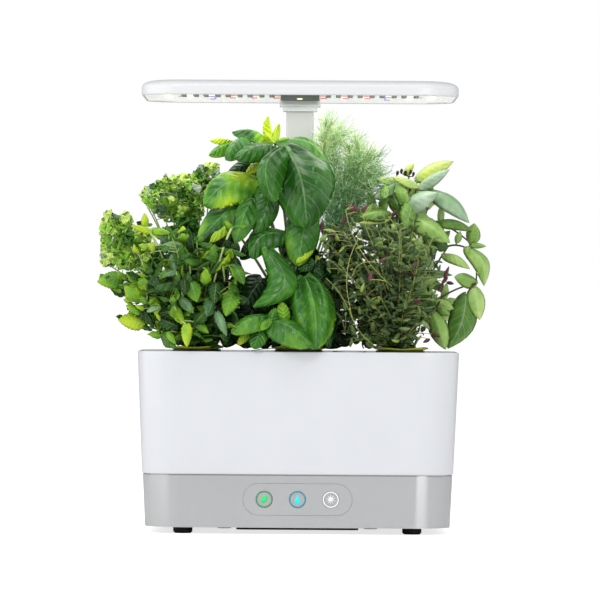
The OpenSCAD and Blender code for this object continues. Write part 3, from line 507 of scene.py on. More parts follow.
# The bowl: floor, leaning wall, rounded rim and the notch for the arm at its rear
BOWL_LOW, BOWL_HIGH = box_mm("bowl")
TOWER_LOW, TOWER_HIGH = box_mm("arm_tower")
BOWL_Z, RIM_Z = BOWL_LOW[2], BOWL_HIGH[2]
BOWL_H = RIM_Z - BOWL_Z
LEAN, WALL, FLOOR = 4.3, 2.4, 2.6
BOWL_CORNER, NOTCH_CORNER, NOTCH_GAP = 32, 3.2, 0.6
FOOT_R, RIM_R, RIM_IN_R, FLOOR_R = 1.6, 1.1, 1, 3


def bowl_lean(z):
    """How far the bowl's wall stands in at a height."""
    return LEAN * (RIM_Z - z) / BOWL_H


bowl_plan = outline(BOWL_HIGH[0], BOWL_HIGH[1], BOWL_CORNER,
                    notch=(TOWER_HIGH[0] + NOTCH_GAP, TOWER_LOW[1] - NOTCH_GAP, NOTCH_CORNER))
bowl_profile = (
    # round the foot
    fillet((FOOT_R, LEAN, BOWL_Z), (0, bowl_lean(BOWL_Z + FOOT_R), BOWL_Z + FOOT_R),
           (0, LEAN, BOWL_Z))
    # up the leaning wall
    + [[0, bowl_lean(BOWL_Z + 4), BOWL_Z + 4], [0, bowl_lean(RIM_Z - 3), RIM_Z - 3]]
    # over the rim
    + fillet((0, 0, RIM_Z - RIM_R), (RIM_R, 0, RIM_Z), (0, 0, RIM_Z))
    + fillet((WALL - RIM_IN_R, 0, RIM_Z), (WALL, 0, RIM_Z - RIM_IN_R), (WALL, 0, RIM_Z))
    # down the inside, and round to the floor
    + [[WALL, bowl_lean(BOWL_Z + 8), BOWL_Z + 8]]
    + fillet((WALL, bowl_lean(BOWL_Z + 6), BOWL_Z + 6),
             (WALL + FLOOR_R, LEAN, BOWL_Z + FLOOR), (WALL, LEAN, BOWL_Z + FLOOR)))
flat, faces = weave(walled(bowl_plan, bowl_profile), "caps")
piece("water_bowl", [(flat, turned(faces), (0, 0), 0, 0)], [white_abs], "garden",
      ["bowl"])

# The hood: a shallow tray, crowned down towards its rim
HOOD_LOW, HOOD_HIGH = box_mm("hood_cover")
HOOD_Z, HOOD_TOP = HOOD_LOW[2], HOOD_HIGH[2]
HOOD_CORNER, FLAT_IN = 35, 20
CEILING, HOOD_WALL, LIP_R, CROWN_IN = 1.9, 2.2, 1.8, 15
hood_plan = outline(HOOD_HIGH[0], HOOD_HIGH[1], HOOD_CORNER, steps=20)
hood_profile = (
    # out along the ceiling and down the inside
    [[FLAT_IN, 0, HOOD_TOP - CEILING], [17.5, 0, HOOD_TOP - 1.95], [6, 0, HOOD_TOP - 4],
     [2.6, 0, HOOD_TOP - 6.2], [HOOD_WALL, 0, HOOD_TOP - 7.5], [HOOD_WALL, 0, HOOD_Z + 0.7]]
    # round the lip
    + fillet((2.1, 0, HOOD_Z + 0.2), (1.7, 0, HOOD_Z), (2.1, 0, HOOD_Z), 3)
    + fillet((1.6, 0, HOOD_Z), (0, 0, HOOD_Z + LIP_R), (0, 0, HOOD_Z))
    # up the outside, and over the crown to the flat top
    + [[0, 0, HOOD_Z + 3], [0, 0, HOOD_Z + 6]]
    + fillet((0, 0, HOOD_Z + 6.6), (CROWN_IN, 0, HOOD_TOP), (0.5, 0, HOOD_TOP - 0.6), 10)
    + [[17, 0, HOOD_TOP], [FLAT_IN, 0, HOOD_TOP]])
flat, faces = weave(walled(hood_plan, hood_profile), "caps")
piece("hood_tray", [(flat, turned(faces), (0, 0), 0, 0)], [milky_acrylic], "lamp",
      ["hood_cover"])

# The pod labels: thin card rings, curled up at the rim in uneven waves. A ring's columns run
# round it, its rows outwards over the top and back under it.
PODS = [box_mm("label_%d" % pod).mean(0)[:2] for pod in range(1, 7)]
LABEL_Z, LABEL_R, LABEL_HOLE, CARD = 152.0, 23.0, 7.0, 0.35
CURL_R, CURL_W, CURL, RUFFLE = 14, 9, 2.2, 0.8
LABEL_ROWS = 15
for pod, (pod_x, pod_y) in enumerate(PODS, 1):
    turn = np.linspace(0, 2 * np.pi, 73)[:-1][None, :]
    out = np.concatenate([np.linspace(LABEL_HOLE, LABEL_R, LABEL_ROWS),
                          np.linspace(LABEL_R, LABEL_HOLE, LABEL_ROWS)])[:, None]
    lift = np.clip((out - CURL_R) / CURL_W, 0, 1) ** 2
    ruffle = RUFFLE * np.sin(3 * turn + pod) * np.cos(turn * 2 - pod)
    height = LABEL_Z + lift * (CURL + ruffle)
    height = height + np.where(np.arange(2 * LABEL_ROWS)[:, None] < LABEL_ROWS, CARD, 0.0)
    ring = np.dstack([pod_x + out * np.cos(turn), pod_y + out * np.sin(turn), height])
    flat, faces = weave(ring, None, True, True)
    piece("label_ring_%d" % pod, [(flat, faces, (0, 0), 0, 0)],
          [label_card], "garden", ["label_%d" % pod])

# ------------------------------------------------------------------ button marks
PANEL_LOW, PANEL_HIGH = box_mm("panel_bezel")
FACE_Y = PANEL_LOW[1]
BUTTON_Z = (PANEL_LOW[2] + PANEL_HIGH[2]) / 2
MARK_PROUD, MARK_SUNK = 0.16, 0.1
RING_IN, RING_OUT = 5.8, 6.65


def mark(shape, middle_x, material):
    """A printed mark: a flat shape (x, z) round its button's middle, a little proud."""
    shape = np.asarray(shape)
    rings = [np.stack([middle_x + shape[:, 0], np.full(len(shape), y),
                       BUTTON_Z + shape[:, 1]], -1)
             for y in (FACE_Y + MARK_SUNK, FACE_Y - MARK_PROUD)]
    flat, faces = weave(np.array(rings), "caps")
    return flat, turned(faces), (0, 0), 0, material


def ring_mark(middle_x, material):
    """A printed ring: a flat band between two radii round its button's middle, a little
    proud."""
    angle = np.linspace(0, 2 * np.pi, 65)[:-1][None, :]
    radius = np.array([RING_IN, RING_OUT, RING_OUT, RING_IN])[:, None]
    y = np.array([-MARK_PROUD, -MARK_PROUD, MARK_SUNK, MARK_SUNK])[:, None] + FACE_Y
    grid = np.dstack([middle_x + radius * np.cos(angle), y + 0 * angle,
                      BUTTON_Z + radius * np.sin(angle)])
    flat, faces = weave(grid, None, True, True)
    return flat, faces, (0, 0), 0, material


turn = np.linspace(0, 2 * np.pi, 41)[:-1]
# A leaf on its side: two arcs that meet in points, turned up to the right by 51 degrees
LEAF_HALF, LEAF_FAT, LEAF_POINT = 3.7, 2.3, 0.35
TURN_COS, TURN_SIN = 0.62, 0.78
leaf_len = np.cos(turn) * LEAF_HALF
leaf_wide = np.sin(turn) * np.abs(np.sin(turn)) ** LEAF_POINT * LEAF_FAT
leaf_shape = np.stack([leaf_len * TURN_COS - leaf_wide * TURN_SIN,
                       leaf_len * TURN_SIN + leaf_wide * TURN_COS], -1)
# A drop: a circle drawn out to a point at its top
DROP_HALF_W, DROP_HALF_H, DROP_POINT, DROP_DOWN = 3.0, 3.5, 1.3, 0.1
drop_wide = -DROP_HALF_W * np.sin(turn) * np.sin(turn / 2) ** DROP_POINT
drop_shape = np.stack([drop_wide, DROP_HALF_H * np.cos(turn) - DROP_DOWN], -1)
# A sun: ten rays round a small disc
RAY_OUT, RAY_IN, RAYS = 4.8, 1.5, 10
ray = np.where(np.arange(2 * RAYS) % 2 == 0, RAY_OUT, RAY_IN)
spin = np.arange(2 * RAYS) * np.pi / RAYS
sun_shape = np.stack([-ray * np.sin(spin), ray * np.cos(spin)], -1)
for name, slot, shape, fill, rim in (
        ("feed", "green_icon", leaf_shape, green_mark, green_ring),
        ("water", "cyan_icon", drop_shape, cyan_mark, cyan_ring),
        ("light", "white_icon", sun_shape, white_mark, white_mark)):
    button = name + "_button"
    x = box_mm(button).mean(0)[0]
    piece(name + "_mark", [mark(shape, x, 0), ring_mark(x, 1)], [fill, rim], button)


# ------------------------------------------------------------------ under the hood
# Small grey chips beside the emitters of the two middle rows, and the dot on the spine
FIRST_EMITTER, EMITTER_PITCH = 18.8, 18.4
EMITTER_X = [FIRST_EMITTER + EMITTER_PITCH * col for col in range(5)]
CHIP_Y, CHIP_STEP, CHIP_SUNK = 14.5, 5, 0.1
CHIP_SIZE, DOT_SIZE = (4.4, 5, 2.6), (4.5, 5, 1.2)
DOT_AT = (-0.3, -20, 362.5)


def block(x, y, z, size):
    """A small block under a height z, chamfered at its underside."""
    wide, deep, high = size
    corners = np.array([(-0.5, -0.5), (0.5, -0.5), (0.5, 0.5), (-0.5, 0.5)]) * [wide, deep]
    rings = [np.column_stack([corners * share + [x, y], np.full(4, z - drop)])
             for share, drop in ((1, 0), (1, high * 0.8), (0.85, high))]
    flat, faces = weave(np.array(rings), "caps")
    return flat, faces, (0, 0), 0, 0


board_z = box_mm("lamp_board")[0][2] + CHIP_SUNK
piece("lamp_board_parts",
      [block(side * (x + step), y, board_z, CHIP_SIZE) for y in (-CHIP_Y, CHIP_Y)
       for x in EMITTER_X for side in (-1, 1) for step in (-CHIP_STEP, CHIP_STEP)],
      [chip_grey], "lamp")
piece("spine_indicator", [block(*DOT_AT, DOT_SIZE)], [warm_glow], "lamp")


# ------------------------------------------------------------------ herbs
def unit(v):
    """A vector at length one."""
    v = np.asarray(v, float)
    return v / (np.linalg.norm(v, axis=-1, keepdims=True) + 1e-12)


# How each kind of leaf is drawn: the rows and columns of its grid, its fullness at base and
# tip (a lower power is fuller), the number and depth of its teeth, its side veins, and how
# far it swells between them as a share of its width
Kind = namedtuple("Kind", "rows cols at_base at_tip teeth depth veins pucker")
KINDS = {
    "basil": Kind(32, 21, 0.42, 0.66, 0, 0.0, 6, 0.07),
    "mint": Kind(24, 9, 0.42, 0.86, 8, 0.18, 6, 0.06),
    "mint_small": Kind(10, 7, 0.44, 0.88, 3, 0.18, 5, 0.05),
    "thai": Kind(20, 9, 0.62, 0.95, 7, 0.04, 6, 0.03),
    "thai_small": Kind(10, 7, 0.62, 0.95, 0, 0.0, 5, 0.03),
    "thyme": Kind(5, 5, 0.55, 0.7, 0, 0.0, 3, 0.0),
    "parsley": Kind(8, 17, 1.0, 0.0, 0, 0.0, 4, 0.0),
}
LEAF_T = 0.35
FAN_DEG = 80
STEM_Z = 151.6

# The room that leaves may take: inside the part, over the labels, under the lamp and in
# front of the arm
ROOM_EDGE, ROOM_FLOOR, ROOM_TOP = 0.5, 153.0, 349.0
ROOM_LOW = np.append(np.array(cad_low[:2]) / MM + ROOM_EDGE, ROOM_FLOOR)
ROOM_HIGH = np.append(np.array(cad_high[:2]) / MM - ROOM_EDGE, ROOM_TOP)
ARM_HALF, ARM_FRONT = 19.0, 40.0


def kept_clear(points):
    """A shell's points, moved together until they are in the room that leaves may take."""
    low, high = points.min(0), points.max(0)
    points = points + np.maximum(ROOM_LOW - low, 0) + np.minimum(ROOM_HIGH - high, 0)
    if low[0] < ARM_HALF and high[0] > -ARM_HALF:
        points = points + [0, min(0.0, ARM_FRONT - high[1]), 0]
    return points


def fan(u, v, length, width, cup, phase):
    """A ruffled fan: u is the share of its radius and v of its angle. Squared sines of the
    angle cut lobes into its rim, sines of the angle ruffle it, and it droops with v squared.
    Gives x along it, y across it, z out of it, and no quilting."""
    angle = math.radians(FAN_DEG) * v
    lobes = 1 - 0.3 * np.sin(4.5 * angle + 3 * phase) ** 2 * u
    x = length * (0.2 + 0.8 * np.cos(angle)) * u * lobes
    y = 0.55 * width * u * np.sin(angle) * lobes
    z = (0.20 * width * u ** 1.5 * np.sin(5.5 * angle + 6.3 * phase)
         - cup * 0.3 * width * u ** 2 * v ** 2)
    return x, y, z, 0 * x


def blade(kind, u, v, length, width, fold, cup, roll, folds, wave, phase):
    """A blade: u runs along it and v across it. Half width: u^a (1-u)^b, scaled to its widest
    place and cut back by teeth. Across: folded down from the rib by an angle, cupped with v
    squared, rolled under with v^6, quilted between the side veins by a sine of their place,
    raised in lengthwise folds by a cosine of v, and waved at its rim by a sine of u. Gives x
    along it, y across it, z out of it, and the quilting."""
    peak = kind.at_base / (kind.at_base + kind.at_tip)
    half = (0.5 * width * u ** kind.at_base * (1 - u) ** kind.at_tip
            / (peak ** kind.at_base * (1 - peak) ** kind.at_tip))
    if kind.teeth:
        half = half * (1 - kind.depth * (1 - (u * kind.teeth) % 1))
    out = np.abs(v)
    side = kind.veins * u - VEIN_SLOPE * out
    quilt = ((np.abs(np.sin(np.pi * side)) ** 0.7 - 0.5)
             * (0.55 + 0.45 * np.sin(5 * u + 3 * v + 12 * phase)))
    x = length * (u - 0.07 * v ** 2 * (1 - u) ** 2) + 0 * v
    y = v * half * math.cos(fold)
    z = (-out * half * math.sin(fold) - half * (cup * v ** 2 + roll * v ** 6)
         + kind.pucker * width * quilt * np.minimum(1, out * 6) * (1 - out ** 3)
         + folds * half * np.cos(3 * np.pi * v + 2 * u) * (1 - u) ** 0.7
         + wave * half * np.sin(2 * np.pi * (2.3 * u + phase) + 1.5 * v) * out ** 2.5)
    return x, y, z, quilt


def leaf(kind, base, tip, width, face=(0, -1, 0.3), arch=0.1, sway=0.0, fold=0.25, cup=0.3,
         roll=0.1, folds=0.0, twist=0.0, wave=0.0, tone=0.5, phase=0.0, material=0, tip_tone=0.1,
         blotch=0.06):
    """A leaf as a closed, lens-thin shell over u along it and v across it. A blade, or for
    parsley a fan, is twisted along u, swayed sideways and arched out by sines of u, and laid
    from base to tip with its upper side to the face direction. Its tone is lighter towards
    the tip and the rim, painted lighter on the quilt's bulges and darker in its grooves as
    light and shade, and blotched by sines of u and v."""
    drawn = KINDS[kind]
    rows, cols = drawn.rows, drawn.cols
    u = (0.5 - 0.5 * np.cos(np.pi * np.linspace(0.04, 0.97, rows)))[:, None]
    v = np.linspace(-1, 1, cols)[None, :]
    base, tip = np.asarray(base, float), np.asarray(tip, float)
    length = np.linalg.norm(tip - base)
    if kind == "parsley":
        x, y, z, quilt = fan(u, v, length, width, cup, phase)
    else:
        x, y, z, quilt = blade(drawn, u, v, length, width, fold, cup, roll, folds, wave, phase)
    angle = twist * (u - 0.5) * 2
    y, z = y * np.cos(angle) - z * np.sin(angle), y * np.sin(angle) + z * np.cos(angle)
    y = y + sway * length * np.sin(np.pi * u)
    z = z + arch * length * np.sin(np.pi * u)
    half_t = 0.5 * LEAF_T * (1 - v ** 2) + 0 * u
    along = unit(tip - base)
    face = np.asarray(face, float)
    up = unit(face - along * (face @ along))
    across = np.cross(up, along)
    # the underside's columns run back from the last to the second, so that the rims are shared
    top = np.dstack([x, y, z + half_t])
    under = np.dstack([x, y, z - half_t])[:, cols - 2:0:-1]
    grid = np.hstack([top, under]) @ np.stack([along, across, up]) + base
    flat, faces = weave(grid, np.stack([base, tip]))
    v_ring = np.hstack([v, v[:, cols - 2:0:-1]]) * 0.5 + 0.5 + 0 * u
    uv = np.vstack([np.stack([u + 0 * v_ring, v_ring], -1).reshape(-1, 2), [[0, 0.5], [1, 0.5]]])
    swell = np.append(np.hstack([quilt, quilt[:, cols - 2:0:-1]]), [0, 0])
    # Painted light and shade: the quilt's swell lifts the tone on the bulges and lowers it in the
    # grooves between the veins
    tint = (tone + tip_tone * (uv[:, 0] - 0.4) + 0.10 * np.abs(uv[:, 1] * 2 - 1) ** 4
            + 0.05 * swell
            + blotch * np.sin(7 * uv[:, 0] + 20 * phase) * np.cos(5 * uv[:, 1] + 9 * phase))
    return kept_clear(flat), faces, uv, tint, material


def stem(path, start_r, end_r, tone=0.5, material=1, sides=6):
    """A tube along a path, its radius running from the start's to the end's, with closed
    ends. The path is held inside the part's width and depth."""
    path = np.array(path, float)
    path[:, :2] = np.clip(path[:, :2], ROOM_LOW[:2] + start_r, ROOM_HIGH[:2] - start_r)
    run = unit(np.gradient(path, axis=0))
    first = unit(np.cross(run, [0.3, -1.0, 0.1]))
    second = np.cross(first, run)
    angle = np.linspace(0, 2 * np.pi, sides + 1)[:-1][None, :, None]
    radius = np.linspace(start_r, end_r, len(path))[:, None, None]
    ring = np.cos(angle) * first[:, None] + np.sin(angle) * second[:, None]
    grid = path[:, None] + radius * ring
    flat, faces = weave(grid, np.stack([path[0], path[-1]]))
    return flat, faces, (0.5, 0.5), tone, material


def curved(a, b, c, steps=8):
    """Points on the quadratic curve from a to c that b pulls towards itself."""
    t = np.linspace(0, 1, steps)[:, None]
    return (1 - t) ** 2 * np.asarray(a) + 2 * t * (1 - t) * np.asarray(b) + t ** 2 * np.asarray(c)


def on_path(path, share):
    """The point at a share of a path's length, counted in its points."""
    at = share * (len(path) - 1)
    return np.array([np.interp(at, range(len(path)), path[:, k]) for k in range(3)])


# 1/g, 1/g^2 and 1/g^3, g being the root of g^4 = g + 1: their multiples never bunch
SPREAD = [0.8192, 0.6711, 0.5497]


def region(rows, count, near, far, skip=0):
    """Points spread evenly over a part of the photograph, given as rows of (height, left,
    right) in pixels, and over the depths from near to far. Their shares of the three ranges
    are multiples of SPREAD, without the whole numbers. Skip leaves out the first multiples,
    which another region took."""
    height, left, right = np.array(rows, float).T
    share = (np.arange(1 + skip, count + 1 + skip)[:, None] * SPREAD) % 1
    steps = np.linspace(height[0], height[-1], 200)
    wide = np.interp(steps, height, right - left)
    py = np.interp(share[:, 0], np.cumsum(wide) / wide.sum(), steps)
    px = np.interp(py, height, left) + share[:, 1] * np.interp(py, height, right - left)
    return seen(px, py, near + share[:, 2] * (far - near))


# How a herb grows: the places on a stem that a leaf's stalk can start from, how much more a
# start above its leaf counts as far away, how far the feet of the shoots spread in mm, how
# much the leaves' tones vary, how far they face up, and how far they droop
ROOTS_PER_STEM, ABOVE_COUNTS, FOOT_SPREAD = 40, 3, 3.5
TONE_SPREAD, FACE_UP, DROOP = 0.17, 0.45, 0.1


class Herb:
    """One herb: shoots from its pod, leaves on them, and the shells that make its piece. Its
    spines are the points of all its stems. Material 0 is its leaf, 1 its stem, and 2 and 3
    are leaves of another colour, or with a painted bluish sheen."""

    def __init__(self, pod, seed):
        self.foot = np.array([PODS[pod][0], PODS[pod][1], STEM_Z])
        self.rng = np.random.default_rng(seed)
        self.shells = []
        self.spines = np.zeros((0, 3))

    def add_stem(self, path, start_r, end_r, tone, sides=6):
        """A stem along a path, which later leaves can grow from."""
        self.shells.append(stem(path, start_r, end_r, tone, sides=sides))
        shares = np.linspace(0, 1, ROOTS_PER_STEM)
        self.spines = np.vstack([self.spines, [on_path(path, share) for share in shares]])

    def shoot(self, tip, start_r, end_r, tone, sides=6):
        """A shoot that leaves its pod steeply and then leans out to its tip. The feet of a
        herb's shoots stand side by side."""
        t = np.linspace(0, 1, 9)[:, None]
        foot = self.foot + np.append(self.rng.uniform(-FOOT_SPREAD, FOOT_SPREAD, 2), 0)
        path = np.hstack([foot[:2] + (tip[:2] - foot[:2]) * t ** 1.5,
                          foot[2] + (tip[2] - foot[2]) * t])
        self.add_stem(path, start_r, end_r, tone, sides)
        return path

    def hang(self, kind, base, tip, width, stalk_r=0.6, sides=5, **shape):
        """A leaf with its own stalk from the nearest stem that isn't above it."""
        base, tip = np.asarray(base, float), np.asarray(tip, float)
        gap = (np.linalg.norm(self.spines - base, axis=1)
               + ABOVE_COUNTS * np.clip(self.spines[:, 2] - base[2], 0, None))
        root = self.spines[gap.argmin()]
        bend = (root + base) / 2 + [0, 0, 0.12 * np.linalg.norm(base - root)]
        path = curved(root, bend, base + 0.04 * (tip - base), 5)
        self.shells.append(stem(path, stalk_r * 1.2, stalk_r, shape.get("tone", 0.5), sides=sides))
        self.shells.append(leaf(kind, base, tip, width, **shape))

    def show(self, kind, rows):
        """Leaves placed as the photograph shows them: pixel and depth of the base and of the
        tip, width in pixels, tone, and the leaf's own shape."""
        for bx, by, bd, tx, ty, td, wide, tone, *shape in rows:
            scale = (bd - CAMERA_MM[1]) / FOCAL_PX
            self.hang(kind, seen(bx, by, bd), seen(tx, ty, td), wide * scale, tone=tone,
                      phase=(bx * 0.37 + by * 0.11) % 1, **(shape[0] if shape else {}))

    def show_stems(self, radius, rows):
        """Bare stems where the photograph shows them: three pixels at one depth, and tone."""
        for ax, ay, bx, by, cx, cy, depth, tone in rows:
            path = curved(seen(ax, ay, depth), seen(bx, by, depth), seen(cx, cy, depth))
            self.add_stem(path, radius, radius * 0.7, tone)

    def pairs(self, kind, tips, nodes, first, length, width, shoot_r, tone, stem_tone=0.5,
              odd=0.0):
        """Shoots with pairs of leaves, each pair turned a quarter from the one below, the
        leaves facing up and outwards, smaller and brighter towards the tip."""
        rng = self.rng
        for tip in tips:
            path = self.shoot(tip, shoot_r, shoot_r * 0.5, stem_tone, sides=4)
            start = rng.uniform(0, np.pi)
            for i in range(nodes):
                t = first + (1 - first) * i / (nodes - 1)
                at = on_path(path, t)
                size = length * (1 - 0.4 * t ** 3) * rng.uniform(0.75, 1.15)
                away = unit((at - self.foot) * [1, 1, 0] + [0, -12, 0])
                for half in (0, np.pi):
                    a = start + i * np.pi / 2 + half + rng.normal(0, 0.25)
                    way = unit([math.cos(a), math.sin(a), 0.4 * t + rng.normal(0, 0.25)])
                    base = at + 0.1 * size * way
                    shade = tone + rng.normal(0, TONE_SPREAD) + 0.25 * (t - 0.5)
                    shade = np.clip(shade, 0.02, 0.97)
                    self.shells.append(stem([at, (at + base) / 2, base + 0.05 * size * way],
                                            0.4, 0.35, tone, sides=3))
                    self.shells.append(leaf(
                        kind, base, at + 1.1 * size * way, width * size / length,
                        face=unit(0.7 * away + [0, 0, FACE_UP] + rng.normal(0, 0.3, 3)),
                        arch=rng.uniform(0.02, 0.2), fold=rng.uniform(0.05, 0.5),
                        cup=rng.uniform(0, 0.3), twist=rng.normal(0, 0.25), wave=0.12,
                        phase=rng.uniform(), material=2 if rng.uniform() < odd else 0,
                        tone=shade))

    def fill(self, kind, points, length, width, tone, spread=TONE_SPREAD, painted_depth_shade=0.25,
             odd=0.0, wild=0.45, stalk_r=0.35):
        """Single leaves round given points, about as long and wide as told in millimetres.
        They point away from the pod, each off its way by the wild share, and face up and
        outwards, and the ones deep inside are painted darker as shade, the outer ones lighter."""
        rng = self.rng
        middle = points.mean(0)
        reach = np.abs(points - middle).max(0)
        for point in points:
            size = length * rng.uniform(0.55, 1.2)
            way = unit(unit(point - self.foot) * [1, 1, 0.7] - [0, 0, DROOP]
                       + rng.normal(0, wild, 3))
            away = unit((point - middle) * [1, 1, 0] + [0, -10, 0])
            # Painted shade: a leaf deep inside the clump is darker, an outer one lighter
            outer = np.linalg.norm((point - middle) / reach) - 0.8
            shade = tone + painted_depth_shade * outer + rng.normal(0, spread)
            self.hang(kind, point - 0.5 * size * way, point + 0.5 * size * way,
                      width * size / length, stalk_r=stalk_r, sides=3,
                      face=unit(0.8 * away + [0, 0, FACE_UP] + rng.normal(0, 0.3, 3)),
                      arch=rng.uniform(0.0, 0.2), fold=rng.uniform(0.05, 0.5),
                      cup=rng.uniform(0, 0.3), twist=rng.normal(0, 0.3), wave=0.15,
                      phase=rng.uniform(), material=2 if rng.uniform() < odd else 0,
                      tone=np.clip(shade, 0.02, 0.97))


# The tables below hold what the photograph shows, in its pixels, with depths along Y in
# millimetres. TIPS: x, y and depth of a shoot's tip. STEMS: x and y of a bare stem's start,
# bend and end, its depth and tone. LEAVES: x, y and depth of a leaf's base, then of its tip,
# its width, its tone and its own shape. BULK, SHADE and CURLS: y, left x and right x of the
# rows that bound a part of the plant.

